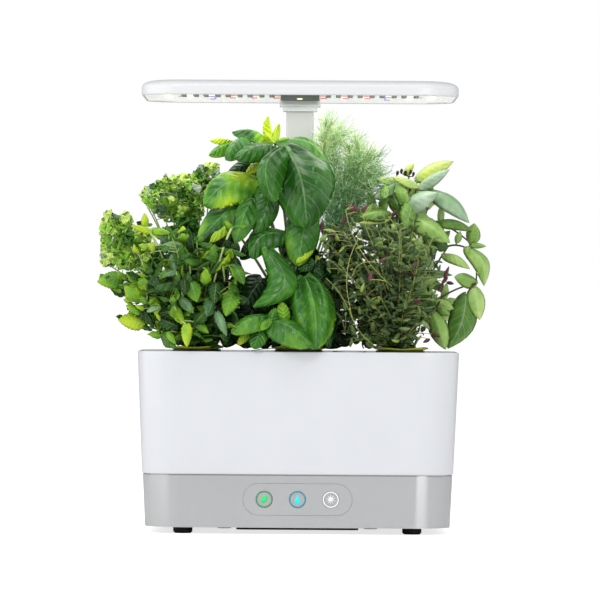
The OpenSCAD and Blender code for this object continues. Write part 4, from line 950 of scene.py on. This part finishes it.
# ------------------------------------------------------------------ basil, front middle
BASIL_TIPS = [
    (274, 144, -36), (240, 140, -36), (304, 208, -46), (236, 232, -40), (252, 178, -40),
    (286, 234, -46), (312, 276, -56), (272, 320, -62), (262, 250, -50), (250, 320, -56),
    (300, 262, -40)]
BASIL_LEAVES = [
    # the bright shoot at the top, and the small leaves round it
    (273, 143, -38, 267, 116.5, -42, 13, 0.99, dict(fold=0.6, arch=-0.1, face=(0.5, -1, 0))),
    (274, 143, -40, 278, 124, -42, 9, 0.92, dict(fold=0.6, arch=-0.1, face=(0.1, -1, 0))),
    (272, 143, -42, 263, 133, -46, 8, 0.95, dict(fold=0.5, face=(0, -1, 0.4))),
    (276, 143, -40, 288, 138, -46, 8, 0.75, dict(fold=0.4)),
    # the great leaf in front, and the one behind its right side
    (284, 147, -66, 306, 227, -90, 66, 0.34, dict(arch=0.2, sway=0.09, fold=0.3, cup=0.4,
                                                  roll=0.3, folds=0.12, face=(-0.15, -1, 0.35),
                                                  wave=0.15)),
    (292, 150, -52, 322, 206, -66, 44, 0.45, dict(arch=0.25, sway=0.1, fold=0.1, cup=0.3,
                                                  face=(0.3, -1, 0.3), wave=0.15)),
    (282, 147, -76, 272, 202, -92, 34, 0.40, dict(arch=0.24, fold=0.3, cup=0.6, sway=-0.14,
                                                  folds=0.2, roll=0.3, face=(-0.3, -1, 0.3))),
    # arched to the right
    (280, 141, -42, 329, 166, -56, 25, 0.50, dict(arch=0.24, fold=0.4, cup=0.2, tip_tone=0.35,
                                                  face=(0.25, -0.7, 1))),
    (286, 140, -30, 318, 146, -34, 16, 0.55, dict(arch=0.2, fold=0.4, face=(0.2, -0.5, 1))),
    # to the left
    (270, 145, -52, 234, 159, -72, 27, 0.38, dict(arch=0.16, fold=0.35, cup=0.35,
                                                  face=(-0.2, -1, 0.5))),
    (267, 141, -34, 231, 133, -48, 22, 0.60, dict(arch=0.2, fold=0.4, tip_tone=-0.25, blotch=0.2,
                                                  face=(-0.1, -0.8, 1))),
    (243, 137, -48, 226, 161, -64, 25, 0.46, dict(arch=0.2, fold=0.4, cup=0.4,
                                                  face=(-0.4, -1, 0.5))),
    (232, 144, -40, 208, 156, -50, 18, 0.56, dict(arch=0.15, fold=0.5, face=(-0.3, -1, 0.5))),
    (230, 141, -36, 209, 141, -44, 10, 0.93, dict(arch=0.1, fold=0.5, face=(-0.3, -1, 0.6))),
    (264, 159, -46, 245, 174, -54, 11, 0.90, dict(arch=0.05, fold=0.2, face=(-0.2, -1, 0.2))),
    (260, 160, -34, 227, 174, -40, 19, 0.22, dict(arch=0.1, fold=0.3, face=(-0.1, -1, 0.3))),
    (262, 150, -28, 240, 165, -26, 30, 0.30, dict(face=(-0.2, -1, 0.3))),
    # backlit, with lime patches, and the darker leaves under it
    (255, 180, -50, 203, 206, -66, 42, 0.70, dict(arch=0.14, sway=-0.1, fold=0.15, cup=0.25,
                                                  tip_tone=-0.2, blotch=0.22, roll=0.2,
                                                  face=(-0.3, -1, 0.4))),
    (243, 194, -46, 198, 241, -62, 40, 0.46, dict(arch=0.12, sway=0.05, fold=0.2, cup=0.3,
                                                  blotch=0.25, face=(-0.35, -1, 0.2))),
    (236, 216, -54, 210, 243, -66, 15, 0.84, dict(fold=0.2, face=(-0.2, -1, 0.1))),
    (252, 198, -60, 235, 243, -74, 26, 0.48, dict(arch=0.15, fold=0.3, face=(-0.2, -1, 0.1))),
    (268, 186, -56, 256, 234, -68, 30, 0.38, dict(arch=0.12, sway=0.05, fold=0.25, roll=0.2,
                                                  face=(0.2, -1, 0.1))),
    (262, 172, -40, 250, 200, -44, 30, 0.15, dict(face=(0, -1, 0.1))),
    (264, 232, -26, 240, 260, -34, 20, 0.22, dict(arch=0.1, fold=0.3, face=(-0.2, -1, 0.2))),
    # the arched leaf, and the crescent in front of it
    (285, 234, -62, 250, 258, -76, 30, 0.40, dict(arch=0.12, sway=-0.22, fold=0.25,
                                                  face=(-0.1, -1, 0.4))),
    (268, 250, -78, 254, 308, -84, 34, 0.48, dict(arch=0.14, sway=0.38, fold=0.12, cup=0.3,
                                                  twist=0.25, roll=0.2, face=(0.2, -1, 0.1))),
    (300, 262, -64, 276, 268, -72, 20, 0.34, dict(fold=0.3, face=(0, -1, 0.4))),
    # under the great leaf
    (306, 210, -60, 297, 266, -74, 37, 0.48, dict(arch=0.12, fold=0.25, cup=0.35, roll=0.2,
                                                  tip_tone=0.25, face=(0.1, -1, 0.1))),
    (312, 248, -66, 296, 263, -76, 9, 0.86, dict(fold=0.2, face=(0.1, -1, 0.1))),
    # small dark leaves to the right of it
    (314, 262, -60, 298, 270, -70, 13, 0.26, dict(fold=0.3)),
    (312, 268, -58, 322, 276, -66, 12, 0.20, dict(fold=0.3)),
    (306, 270, -62, 312, 258, -66, 11, 0.30, dict(fold=0.3)),
    (316, 260, -56, 318, 256, -58, 6, 0.98, dict(fold=0.3)),
    # the large folded leaf, hanging to the rim
    (304, 278, -74, 316, 351, -90, 54, 0.52, dict(arch=0.16, sway=0.06, fold=0.5, cup=0.35,
                                                  roll=0.2, folds=0.25, face=(0, -1, 0.3))),
    (312, 280, -64, 330, 348, -74, 26, 0.28, dict(arch=0.16, fold=0.4, face=(0.4, -1, 0.2))),
    # round the tiny middle at the bottom
    (272, 321, -84, 311, 347, -94, 35, 0.50, dict(arch=0.18, fold=0.3, cup=0.3,
                                                  face=(0.1, -1, 0.8))),
    (268, 317, -80, 231, 333, -90, 25, 0.54, dict(arch=0.2, fold=0.35, cup=0.3,
                                                  face=(-0.1, -1, 0.7))),
    (270, 325, -86, 275, 308, -86, 13, 0.50, dict(fold=0.4, cup=0.5, face=(0, -1, 0.5))),
    (284, 324, -80, 282, 302, -80, 16, 0.70, dict(fold=0.3, face=(0.1, -1, 0.2))),
    (262, 330, -82, 254, 351, -90, 19, 0.48, dict(fold=0.3, face=(0, -1, 0.4))),
    (270, 319, -88, 261, 330, -92, 10, 0.64, dict(fold=0.4, face=(0, -1, 0.4))),
    (248, 334, -74, 238, 345, -80, 9, 0.82, dict(fold=0.2)),
    # deep shade inside the plant
    (262, 278, -52, 244, 306, -58, 34, 0.04, dict(face=(0, -1, 0.2), blotch=0)),
    (268, 282, -50, 262, 312, -54, 30, 0.04, dict(face=(0, -1, 0.2), blotch=0)),
    (300, 225, -24, 292, 275, -24, 34, 0.12, dict(face=(0, -1, 0.2))),
    (318, 286, -40, 330, 345, -46, 34, 0.10, dict(face=(0.3, -1, 0.1))),
    (252, 310, -44, 240, 345, -44, 36, 0.05, dict(face=(0, -1, 0.2))),
    (290, 300, -44, 286, 345, -44, 40, 0.08, dict(face=(0, -1, 0.2))),
    (238, 314, -40, 225, 348, -42, 28, 0.05, dict(face=(0, -1, 0.2), blotch=0)),
    # behind, seen from the sides
    (262, 150, -20, 240, 190, -14, 34, 0.35, dict(arch=0.15, face=(-0.4, 1, 0.3))),
    (280, 160, -22, 300, 205, -12, 36, 0.38, dict(arch=0.15, face=(0.4, 1, 0.3))),
    (300, 240, -26, 316, 290, -16, 34, 0.30, dict(arch=0.12, face=(0.3, 1, 0.2))),
]
BASIL_SHADE = [(268, 284, 330), (300, 252, 334), (322, 238, 336), (350, 236, 336)]

basil = Herb(1, 11)
for tip in seen_rows(BASIL_TIPS):
    basil.shoot(tip, 1.7, 1.0, 0.35)
basil.show("basil", BASIL_LEAVES)
basil.fill("mint_small", region(BASIL_SHADE, 64, -60, -14), 26, 20, 0.10, spread=0.08,
           painted_depth_shade=0.0)
piece("basil_plant", basil.shells, [basil_leaf, pale_stem], "garden", ["basil"])

# ------------------------------------------------------------------ mint, front left
MINT_BULK = [(236, 158, 182), (246, 152, 236), (262, 158, 240), (276, 130, 242),
             (286, 112, 240), (298, 130, 238), (312, 146, 236), (326, 158, 234), (346, 170, 232)]
MINT_RIM = [(246, 134, 158), (286, 112, 150), (318, 134, 168), (346, 164, 190)]
MINT_SHADE = [(232, 196, 232), (262, 190, 240), (300, 190, 240), (346, 190, 236)]
MINT_TIPS = [(146, 228, -50), (126, 282, -60), (104, 282, -60), (122, 320, -64),
             (178, 232, -40), (230, 228, -60)]
MINT_STEMS = [
    (149, 233, 157, 243, 162, 259, -66, 0.75), (231, 229, 222, 246, 213, 287, -74, 0.8),
    (222, 266, 224, 274, 224.5, 282, -74, 0.7), (189.5, 258, 190, 268, 190, 280, -72, 0.7),
    (176, 274, 182, 288, 183, 300, -76, 0.65), (173, 303, 176, 312, 180, 322, -80, 0.65),
    (156, 322, 168, 328, 177, 333, -70, 0.3)]
MINT_LEAVES = [
    (145.5, 228, -66, 144, 214, -68, 10, 0.93, dict(fold=0.5, face=(0.2, -1, 0))),
    (151, 231, -66, 130, 227, -72, 12, 0.90, dict(fold=0.4, face=(0, -1, 0.8))),
    (151, 230, -64, 170, 234, -68, 12, 0.76, dict(fold=0.4, face=(0, -1, 0.6))),
    (151, 245, -68, 140, 252, -72, 8, 0.94, dict(fold=0.3)),
    (182, 246, -70, 162, 246, -76, 15, 0.48, dict(fold=0.3, face=(0, -1, 0.6), material=2)),
    (174, 271, -74, 171, 255, -74, 12, 0.5, dict(fold=0.3, material=2)),
    (176, 272, -76, 159, 277, -82, 9, 0.55, dict(fold=0.4, face=(0, -1, 0.5), material=2)),
    (122, 279, -62, 97, 283, -66, 21, 0.62, dict(fold=0.2, tip_tone=0.35, face=(0, -1, 0.3))),
    (151, 279, -66, 125, 303, -72, 27, 0.66, dict(fold=0.15, tip_tone=0.35, face=(0, -1, 0.2))),
    (182, 283, -74, 144, 293, -84, 17, 0.33, dict(fold=0.4, face=(0, -1, 0.8))),
    (191, 283, -80, 197, 303, -84, 19, 0.60, dict(fold=0.2, face=(0, -1, 0.3))),
    (216, 284, -80, 214, 305, -84, 17, 0.26, dict(fold=0.2, face=(0, -1, 0.2))),
    (233, 291, -78, 226, 317, -86, 22, 0.62, dict(fold=0.15, face=(0, -1, 0.3))),
    (236, 297, -72, 229, 282, -72, 12, 0.92, dict(fold=0.3, face=(0, -1, 0.2))),
    (234, 265, -76, 244, 285, -82, 16, 0.54, dict(fold=0.2, face=(0.2, -1, 0.2))),
    (223, 257, -72, 210, 275, -76, 16, 0.34, dict(fold=0.3, face=(-0.2, -1, 0.2))),
    (220, 249, -72, 193, 243, -80, 11, 0.4, dict(fold=0.5, face=(0, -1, 1))),
    (221, 249, -72, 246, 256, -78, 12, 0.38, dict(fold=0.5, face=(0, -1, 1))),
    (232, 229, -72, 224, 221, -72, 8, 0.70, dict(fold=0.4)),
    (232, 228, -72, 248, 226, -76, 8, 0.55, dict(fold=0.4)),
    (232, 228, -70, 233, 213, -70, 8, 0.35, dict(fold=0.4)),
    (187, 325, -88, 187, 348, -90, 13, 0.88, dict(fold=0.2, face=(0, -1, 0.1))),
    (217, 313, -84, 227, 337, -88, 12, 0.52, dict(fold=0.3, face=(0, -1, 0.2), material=2)),
    (144, 322, -66, 118, 321, -70, 21, 0.92, dict(fold=0.15, face=(0, -1, 0.3))),
    (130, 307, -62, 155, 330, -68, 15, 0.14, dict(arch=0.3, fold=0.4, face=(0, -1, 1))),
    (153, 296, -72, 160, 322, -76, 12, 0.86, dict(fold=0.3)),
    (171, 306, -78, 185, 326, -82, 15, 0.80, dict(fold=0.3)),
    (181, 299, -80, 194, 314, -84, 13, 0.5, dict(fold=0.3, material=2)),
    (197, 323, -80, 209, 334, -84, 11, 0.62, dict(fold=0.3)),
    (189, 258, -72, 184, 248, -74, 9, 0.7, dict(fold=0.4)),
    (190, 260, -72, 202, 256, -76, 9, 0.42, dict(fold=0.4)),
    (168, 333, -80, 176, 345, -84, 9, 0.72, dict(fold=0.3)),
    (196, 270, -76, 210, 262, -80, 11, 0.3, dict(fold=0.4)),
]

mint = Herb(0, 12)
mint.pairs("mint_small", np.vstack([region(MINT_BULK, 26, -90, -10), seen_rows(MINT_TIPS)]),
           5, 0.3, 15, 12, 1.0, 0.42)
mint.fill("mint_small", region(MINT_BULK, 190, -92, -10, 40), 18, 13, 0.40, spread=0.24, odd=0.1,
          wild=0.7)
mint.fill("mint_small", region(MINT_RIM, 34, -84, -50), 12, 8, 0.72, spread=0.14)
mint.show_stems(1.0, MINT_STEMS)
mint.show("mint", MINT_LEAVES)
# deep shade between the mint and the basil
mint.fill("mint_small", region(MINT_SHADE, 26, -36, 0), 30, 24, 0.05, spread=0.05,
          painted_depth_shade=0.0)
piece("mint_plant", mint.shells, [mint_leaf, pale_stem, painted_sheen_leaf], "garden",
      ["mint"])

# ------------------------------------------------------------------ thyme, front right
# Wiry shoots with small leaves, and a few maroon ones
THYME_BULK = [(226, 332, 420), (236, 322, 428), (252, 320, 438), (270, 322, 440),
              (290, 328, 437), (310, 336, 432), (330, 342, 426), (346, 352, 420)]
THYME_SHADE = [(236, 326, 352), (280, 322, 420), (346, 330, 420)]
THYME_EDGE_SHADE = [(232, 332, 352), (346, 332, 354)]
THYME_TIPS = [(350, 216, -70), (366, 220, -60), (384, 217, -74), (399, 224, -62),
              (413, 221, -70), (432, 238, -56), (338, 226, -56), (326, 242, -60)]
THYME_STEMS = [
    (345, 210, 352, 252, 392, 286, -94, 0.6), (388, 216, 404, 232, 398, 264, -92, 0.5),
    (413, 232, 424, 242, 428, 262, -88, 0.6), (358, 238, 340, 270, 350, 306, -94, 0.6),
    (350, 306, 352, 330, 376, 346, -90, 0.5), (326, 278, 344, 294, 352, 318, -88, 0.5),
    (376, 262, 356, 258, 352, 276, -90, 0.6)]
# x and y of the base and of the tip, depth, tone
MAROON_LEAVES = [
    (356, 206, 348, 212, -88, 0.6), (348, 214, 340, 225, -88, 0.5),
    (352, 205, 344, 207, -86, 0.5), (357, 212, 353, 203, -88, 0.7),
    (361, 212, 368, 203, -86, 0.7), (321, 222, 322, 234, -84, 0.35),
    (326, 234, 341, 236, -84, 0.4), (391, 216, 397, 209, -84, 0.4),
    (444, 277, 449, 265, -56, 0.6), (443, 283, 438, 291, -56, 0.5),
    (447, 281, 454, 283, -56, 0.4), (432, 333, 441, 336, -64, 0.5),
    (430, 338, 423, 342, -66, 0.6), (429, 322, 432, 330, -64, 0.25),
    (417, 262, 412, 268, -88, 0.6), (379, 261, 386, 258, -92, 0.7),
    (369, 280, 372, 270, -92, 0.8), (447, 276, 441, 284, -56, 0.4)]

thyme = Herb(2, 13)
thyme.pairs("thyme", np.vstack([region(THYME_BULK, 44, -92, -14), seen_rows(THYME_TIPS)]),
            12, 0.16, 9, 5, 0.6, 0.40, stem_tone=0.6, odd=0.03)
thyme.fill("thyme", region(THYME_BULK, 400, -94, -10, 60), 9, 4.8, 0.36, spread=0.18,
           painted_depth_shade=0.4, wild=0.9, stalk_r=0.2)
thyme.show_stems(0.36, THYME_STEMS)
for px, py, tip_x, tip_y, depth, tone in MAROON_LEAVES:
    thyme.hang("thai_small", seen(px, py, depth), seen(tip_x, tip_y, depth - 2), 3.6,
               stalk_r=0.3, tone=tone, material=2, fold=0.4, arch=0.15)
# deep shade behind the thyme, and at its side towards the basil
thyme.fill("mint_small", region(THYME_SHADE, 45, -24, 10), 26, 18, 0.04, spread=0.06,
           painted_depth_shade=0.0)
thyme.fill("mint_small", region(THYME_EDGE_SHADE, 26, -34, 0), 18, 12, 0.05, spread=0.06,
           painted_depth_shade=0.0)
piece("thyme_plant", thyme.shells, [thyme_leaf, wiry_stem, maroon_leaf], "garden",
      ["thyme"])

# ------------------------------------------------------------------ parsley, rear left
# Leaflets that are ruffled, lobed fans
HIGH_CURLS = [(178, 164, 186), (184, 154, 204), (192, 144, 212), (200, 141, 206),
              (210, 152, 202), (220, 162, 200), (240, 172, 198)]
TOP_CURLS = [(166, 204, 218), (172, 196, 222), (188, 188, 218)]
LEFT_CURLS = [(217, 106, 130), (224, 99, 132), (236, 98, 146), (248, 100, 150), (258, 98, 146),
              (268, 108, 150)]
PARSLEY_SHADE = [(222, 172, 198), (244, 168, 200), (262, 150, 200)]

parsley = Herb(3, 14)
for tip in np.vstack([region(HIGH_CURLS, 12, -6, 50), region(TOP_CURLS, 3, 4, 30),
                      region(LEFT_CURLS, 9, -24, 24)]):
    parsley.shoot(tip, 0.9, 0.5, 0.5, sides=4)
parsley.fill("parsley", region(HIGH_CURLS[:6], 120, -12, 50), 9.5, 13, 0.62, spread=0.24,
             painted_depth_shade=0.25, odd=0.25, wild=0.9)
parsley.fill("parsley", region(TOP_CURLS, 34, 0, 34), 8, 11, 0.55, spread=0.2, odd=0.5, wild=0.8)
parsley.fill("parsley", region(LEFT_CURLS, 96, -34, 26), 9.5, 13, 0.66, spread=0.2,
             painted_depth_shade=0.3, odd=0.05, wild=0.9)
parsley.fill("parsley", region(PARSLEY_SHADE, 24, -10, 20), 16, 20, 0.12, spread=0.1,
             painted_depth_shade=0.0)
piece("parsley_plant", parsley.shells, [parsley_leaf, pale_stem, painted_sheen_leaf], "garden",
      ["parsley"])

# ------------------------------------------------------------------ dill, rear middle
DILL_BULK = [(122, 320, 332), (132, 319, 352), (142, 319, 366), (152, 320, 382),
             (166, 320, 388), (180, 320, 386), (192, 320, 378), (206, 320, 366),
             (220, 322, 358), (232, 324, 350)]
FROND_THREADS = 26


def frond(herb, tip):
    """A frond: a curve from the nearest stem some way below its tip, with fine curved threads
    along its outer four fifths that point outwards at random. High ones are paler."""
    rng = herb.rng
    gap = (np.linalg.norm(herb.spines - tip, axis=1)
           + 2 * np.abs(herb.spines[:, 2] - tip[2] + 14))
    root = herb.spines[gap.argmin()]
    high = np.clip((tip[2] - 230) / 100, 0, 1)
    path = curved(root, (root + tip) / 2 + [0, 0, 5], tip, 6)
    herb.shells.append(stem(path, 0.45, 0.25, 0.3 + 0.4 * high, 0, sides=3))
    way = unit(tip - root)
    for k in range(FROND_THREADS):
        start = on_path(path, 0.2 + 0.8 * k / (FROND_THREADS - 1))
        thread_way = unit(0.8 * way + [0, 0, 0.15] + rng.normal(0, 0.7, 3))
        end = start + thread_way * rng.uniform(7, 17)
        bend = (start + end) / 2 + rng.normal(0, 1.6, 3)
        shade = np.clip(0.15 + 0.6 * high + rng.normal(0, 0.2), 0, 1)
        herb.shells.append(stem(curved(start, bend, end, 4), 0.3, 0.18, shade, 0, sides=3))


dill = Herb(4, 15)
for tip in region(DILL_BULK, 12, -6, 36):
    dill.shoot(tip, 0.9, 0.35, 0.4, sides=4)
for tip in np.vstack([region(DILL_BULK[:4], 26, -10, 36),
                      region(DILL_BULK[3:], 116, -16, 46, 20)]):
    frond(dill, tip)
piece("dill_plant", dill.shells, [dill_thread, pale_stem], "garden", ["dill"])

# ------------------------------------------------------------------ Thai basil, rear right
# Pointed leaves on dark stems
THAI_BULK = [(188, 372, 402), (200, 364, 426), (214, 360, 436), (230, 366, 442),
             (246, 374, 442), (262, 384, 438), (290, 390, 446), (320, 396, 446)]
THAI_TIPS = [
    (416, 182, 0), (400, 196, 0), (394, 180, 2), (408, 176, 4), (440, 222, 4), (404, 212, 0),
    (432, 192, 4), (390, 214, 0), (448, 245, 0), (414, 216, -4), (442, 300, -14)]
THAI_STEMS = [
    (446, 246, 456, 241, 471, 249, -2, 0.3), (471, 249, 478, 262, 476, 280, -8, 0.4),
    (438, 300, 450, 288, 476, 282, -12, 0.35), (476, 282, 468, 288, 466, 296, -12, 0.35),
    (440, 300, 436, 308, 435, 318, -16, 0.25), (436, 222, 450, 224, 470, 242, 2, 0.35)]
THAI_LEAVES = [
    (415, 178, 4, 453, 160, -6, 19, 0.86, dict(fold=0.4, arch=0.15, face=(0, -1, 0.5))),
    (417, 187, 0, 449, 168, -12, 16, 0.80, dict(fold=0.4, arch=0.1, face=(0, -1, 0.6),
                                                material=2)),
    (418, 185, -2, 390, 176, -12, 13, 0.80, dict(fold=0.4, arch=0.1, face=(0, -1, 0.7))),
    (394, 180, 0, 375, 178, -6, 11, 0.74, dict(fold=0.4, face=(0, -1, 0.6))),
    (396, 183, 0, 373, 198, -8, 16, 0.68, dict(fold=0.3, face=(0, -1, 0.4), material=2)),
    (402, 207, -6, 437, 192, -20, 25, 0.78, dict(fold=0.3, arch=0.12, face=(0, -1, 0.5),
                                                 material=2)),
    (402, 211, -2, 429, 217, -8, 18, 0.56, dict(fold=0.3, face=(0, -1, 0.5))),
    (431, 190, -2, 469, 222, -16, 24, 0.66, dict(fold=0.35, arch=0.2, face=(0.1, -0.8, 0.7),
                                                 material=2)),
    (436, 221, 0, 473, 230, -10, 15, 0.34, dict(fold=0.4, arch=0.2, face=(0, -1, 0.7))),
    (411, 215, -6, 450, 242, -20, 26, 0.56, dict(fold=0.35, arch=0.12, face=(0, -1, 0.5))),
    (470, 243, -4, 474, 222, -12, 17, 0.50, dict(fold=0.4, face=(-0.2, -1, 0.2))),
    (466, 247, -8, 484, 285, -20, 21, 0.56, dict(fold=0.45, arch=0.2, sway=0.15,
                                                 face=(0.2, -1, 0.3))),
    (443, 253, -4, 470, 268, -16, 15, 0.66, dict(fold=0.45, arch=0.2, face=(0, -1, 0.9))),
    (477, 280, -8, 454, 276, -20, 18, 0.50, dict(fold=0.35, face=(0, -1, 0.4))),
    (474, 286, -12, 480, 319, -20, 20, 0.66, dict(fold=0.3, face=(0.1, -1, 0.2))),
    (466, 294, -14, 448, 348, -24, 31, 0.28, dict(fold=0.35, arch=0.1, sway=0.08,
                                                  face=(0, -1, 0.1))),
    (434, 315, -20, 446, 351, -32, 22, 0.52, dict(fold=0.35, arch=0.1, face=(0, -1, 0.1))),
    (389, 212, -2, 359, 217, -14, 18, 0.50, dict(fold=0.35, arch=0.15, face=(0, -1, 0.5))),
    (388, 219, -4, 357, 223, -14, 8, 0.86, dict(fold=0.3, arch=0.05, face=(0, -1, 0.3))),
    (404, 262, -30, 377, 238, -34, 26, 0.66, dict(fold=0.2, face=(0, -1, 0.3))),
    (424, 258, -30, 402, 236, -34, 24, 0.55, dict(fold=0.2, face=(0, -1, 0.3))),
    (403, 226, -8, 382, 228, -14, 10, 0.62, dict(fold=0.3)),
    (403, 174, 4, 413, 163, 0, 9, 0.86, dict(fold=0.4, face=(0, -1, 0.3))),
    (470, 243, -6, 486, 245, -12, 8, 0.5, dict(fold=0.4, face=(0, -1, 0.6))),
    (447, 246, -6, 435, 240, -10, 15, 0.15, dict(fold=0.3)),
    (456, 242, -6, 460, 230, -10, 8, 0.55, dict(fold=0.4)),
    (440, 222, 0, 441, 202, -2, 8, 0.72, dict(fold=0.4)),
    (436, 300, -14, 454, 308, -20, 13, 0.58, dict(fold=0.3)),
    (438, 304, -14, 450, 315, -20, 12, 0.42, dict(fold=0.3)),
    (432, 191, 0, 427, 184, -2, 8, 0.4, dict(fold=0.4)),
    (436, 240, -4, 420, 252, -12, 18, 0.3, dict(fold=0.3)),
]
# Closed flower buds on the two topmost stems: x, y, width in millimetres
THAI_BUDS = [(396, 173, 3.4), (400, 171, 3.2), (404, 173, 3.8), (409, 172, 3.4),
             (412, 174, 3.0), (405, 187, 3.6), (408, 190, 3.4), (403, 191, 3.0)]

thai = Herb(5, 16)
for tip in seen_rows(THAI_TIPS):
    thai.shoot(tip, 1.1, 0.7, 0.35)
thai.show_stems(0.9, THAI_STEMS)
thai.fill("thai_small", region(THAI_BULK, 84, -12, 52), 25, 14, 0.46, odd=0.14)
thai.show("thai", THAI_LEAVES)
for px, py, width in THAI_BUDS:
    thai.hang("thyme", seen(px, py + 2, 2), seen(px + 1, py - 3, 0), width, stalk_r=0.4,
              tone=0.05, material=3, fold=0.6, cup=0.6)
piece("thai_basil_plant", thai.shells, [thai_leaf, dark_stem, painted_sheen_leaf, maroon_leaf],
      "garden", ["thai_basil"])


# ------------------------------------------------------------------ floor and light
def staged(name, corners, material):
    """A flat four-cornered stage piece."""
    mesh = bpy.data.meshes.new(name)
    mesh.from_pydata(corners, [], [(0, 1, 2, 3)])
    mesh.materials.append(material)
    made = bpy.data.objects.new(name, mesh)
    bpy.context.scene.collection.objects.link(made)
    return made


# White paper for the floor. Its grain is drawn coarse, about 3 mm, and it is lifted towards
# white where the camera sees it, so that it keeps the garden's shadow on a white ground.
PAPER_GRAINS_PER_M = 300.0
PAPER_GLOW = 0.75
FLOOR_HALF_M, FLOOR_FAR_M = 60, 300
floor_paper, tree, out = new_material("white_floor_paper")
place = node(tree, "TexCoord").outputs["Object"]
grain = node(tree, "TexNoise", Vector=place, Scale=PAPER_GRAINS_PER_M)
tint = node(tree, "MixRGB", Fac=grain.outputs["Fac"], Color1=linear("F4F4F4"),
            Color2=linear("F0F0F0"))
paper = node(tree, "BsdfDiffuse", Color=tint.outputs[0])
clean = node(tree, "Emission", Color=(1, 1, 1, 1), Strength=PAPER_GLOW)
both = node(tree, "AddShader", n0=paper.outputs[0], n1=clean.outputs[0])
rays = node(tree, "LightPath")
straight = node(tree, "MixShader", Fac=rays.outputs["Is Camera Ray"], n1=paper.outputs[0],
                n2=both.outputs[0])
tree.links.new(straight.outputs[0], out.inputs[0])
staged("floor", [(-FLOOR_HALF_M, -FLOOR_HALF_M, 0), (FLOOR_HALF_M, -FLOOR_HALF_M, 0),
                 (FLOOR_HALF_M, FLOOR_FAR_M, 0), (-FLOOR_HALF_M, FLOOR_FAR_M, 0)], floor_paper)

# The world is white behind the garden and through its clear posts, and dimmer as a light
WORLD_LIGHT = 0.4
world = bpy.data.worlds.new("studio")
bpy.context.scene.world = world
world.use_nodes = True
tree = world.node_tree
tree.nodes.clear()
rays = node(tree, "LightPath")
shown = node(tree, "Math", {"operation": "MAXIMUM"}, n0=rays.outputs["Is Camera Ray"],
             n1=rays.outputs["Is Transmission Ray"])
level = node(tree, "MapRange", Value=shown.outputs[0], To_Min=WORLD_LIGHT, To_Max=1.0)
sky = node(tree, "Background", Color=(1, 1, 1, 1), Strength=level.outputs[0])
tree.links.new(sky.outputs[0], node(tree, "OutputWorld").inputs[0])


def softbox(name, place, target, width, height, watts, colour=(1, 1, 1)):
    """A rectangular studio light that looks from its place to a target, both in metres."""
    lamp = bpy.data.lights.new(name, "AREA")
    lamp.shape, lamp.size, lamp.size_y = "RECTANGLE", width, height
    lamp.energy, lamp.color = watts, colour
    made = bpy.data.objects.new(name, lamp)
    bpy.context.scene.collection.objects.link(made)
    made.location = place
    look = Vector(target) - Vector(place)
    made.rotation_euler = look.to_track_quat("-Z", "Y").to_euler()
    return made


# Two broad sides, a low front that fills the base, a soft top, a small key that models the
# leaves, and the glow of the emitters on the herbs
softbox("left_softbox", (-1.5, -0.3, 0.5), (0, 0, 0.2), 2.2, 1.4, 14)
softbox("right_softbox", (1.5, -0.1, 0.5), (0, 0, 0.2), 2.2, 1.4, 5)
softbox("front_softbox", (1.0, -1.9, 0.35), (0, 0, 0.12), 1.2, 0.9, 10.5)
softbox("top_softbox", (0.2, -0.9, 1.9), (0, 0, 0.2), 1.6, 1.2, 9)
softbox("key_light", (-0.7, -1.5, 1.3), (0, 0, 0.25), 0.35, 0.35, 6)
softbox("grow_light", (0, -0.03, 0.36), (0, -0.03, 0), 0.22, 0.13, 0.18, (1.0, 0.99, 0.95))
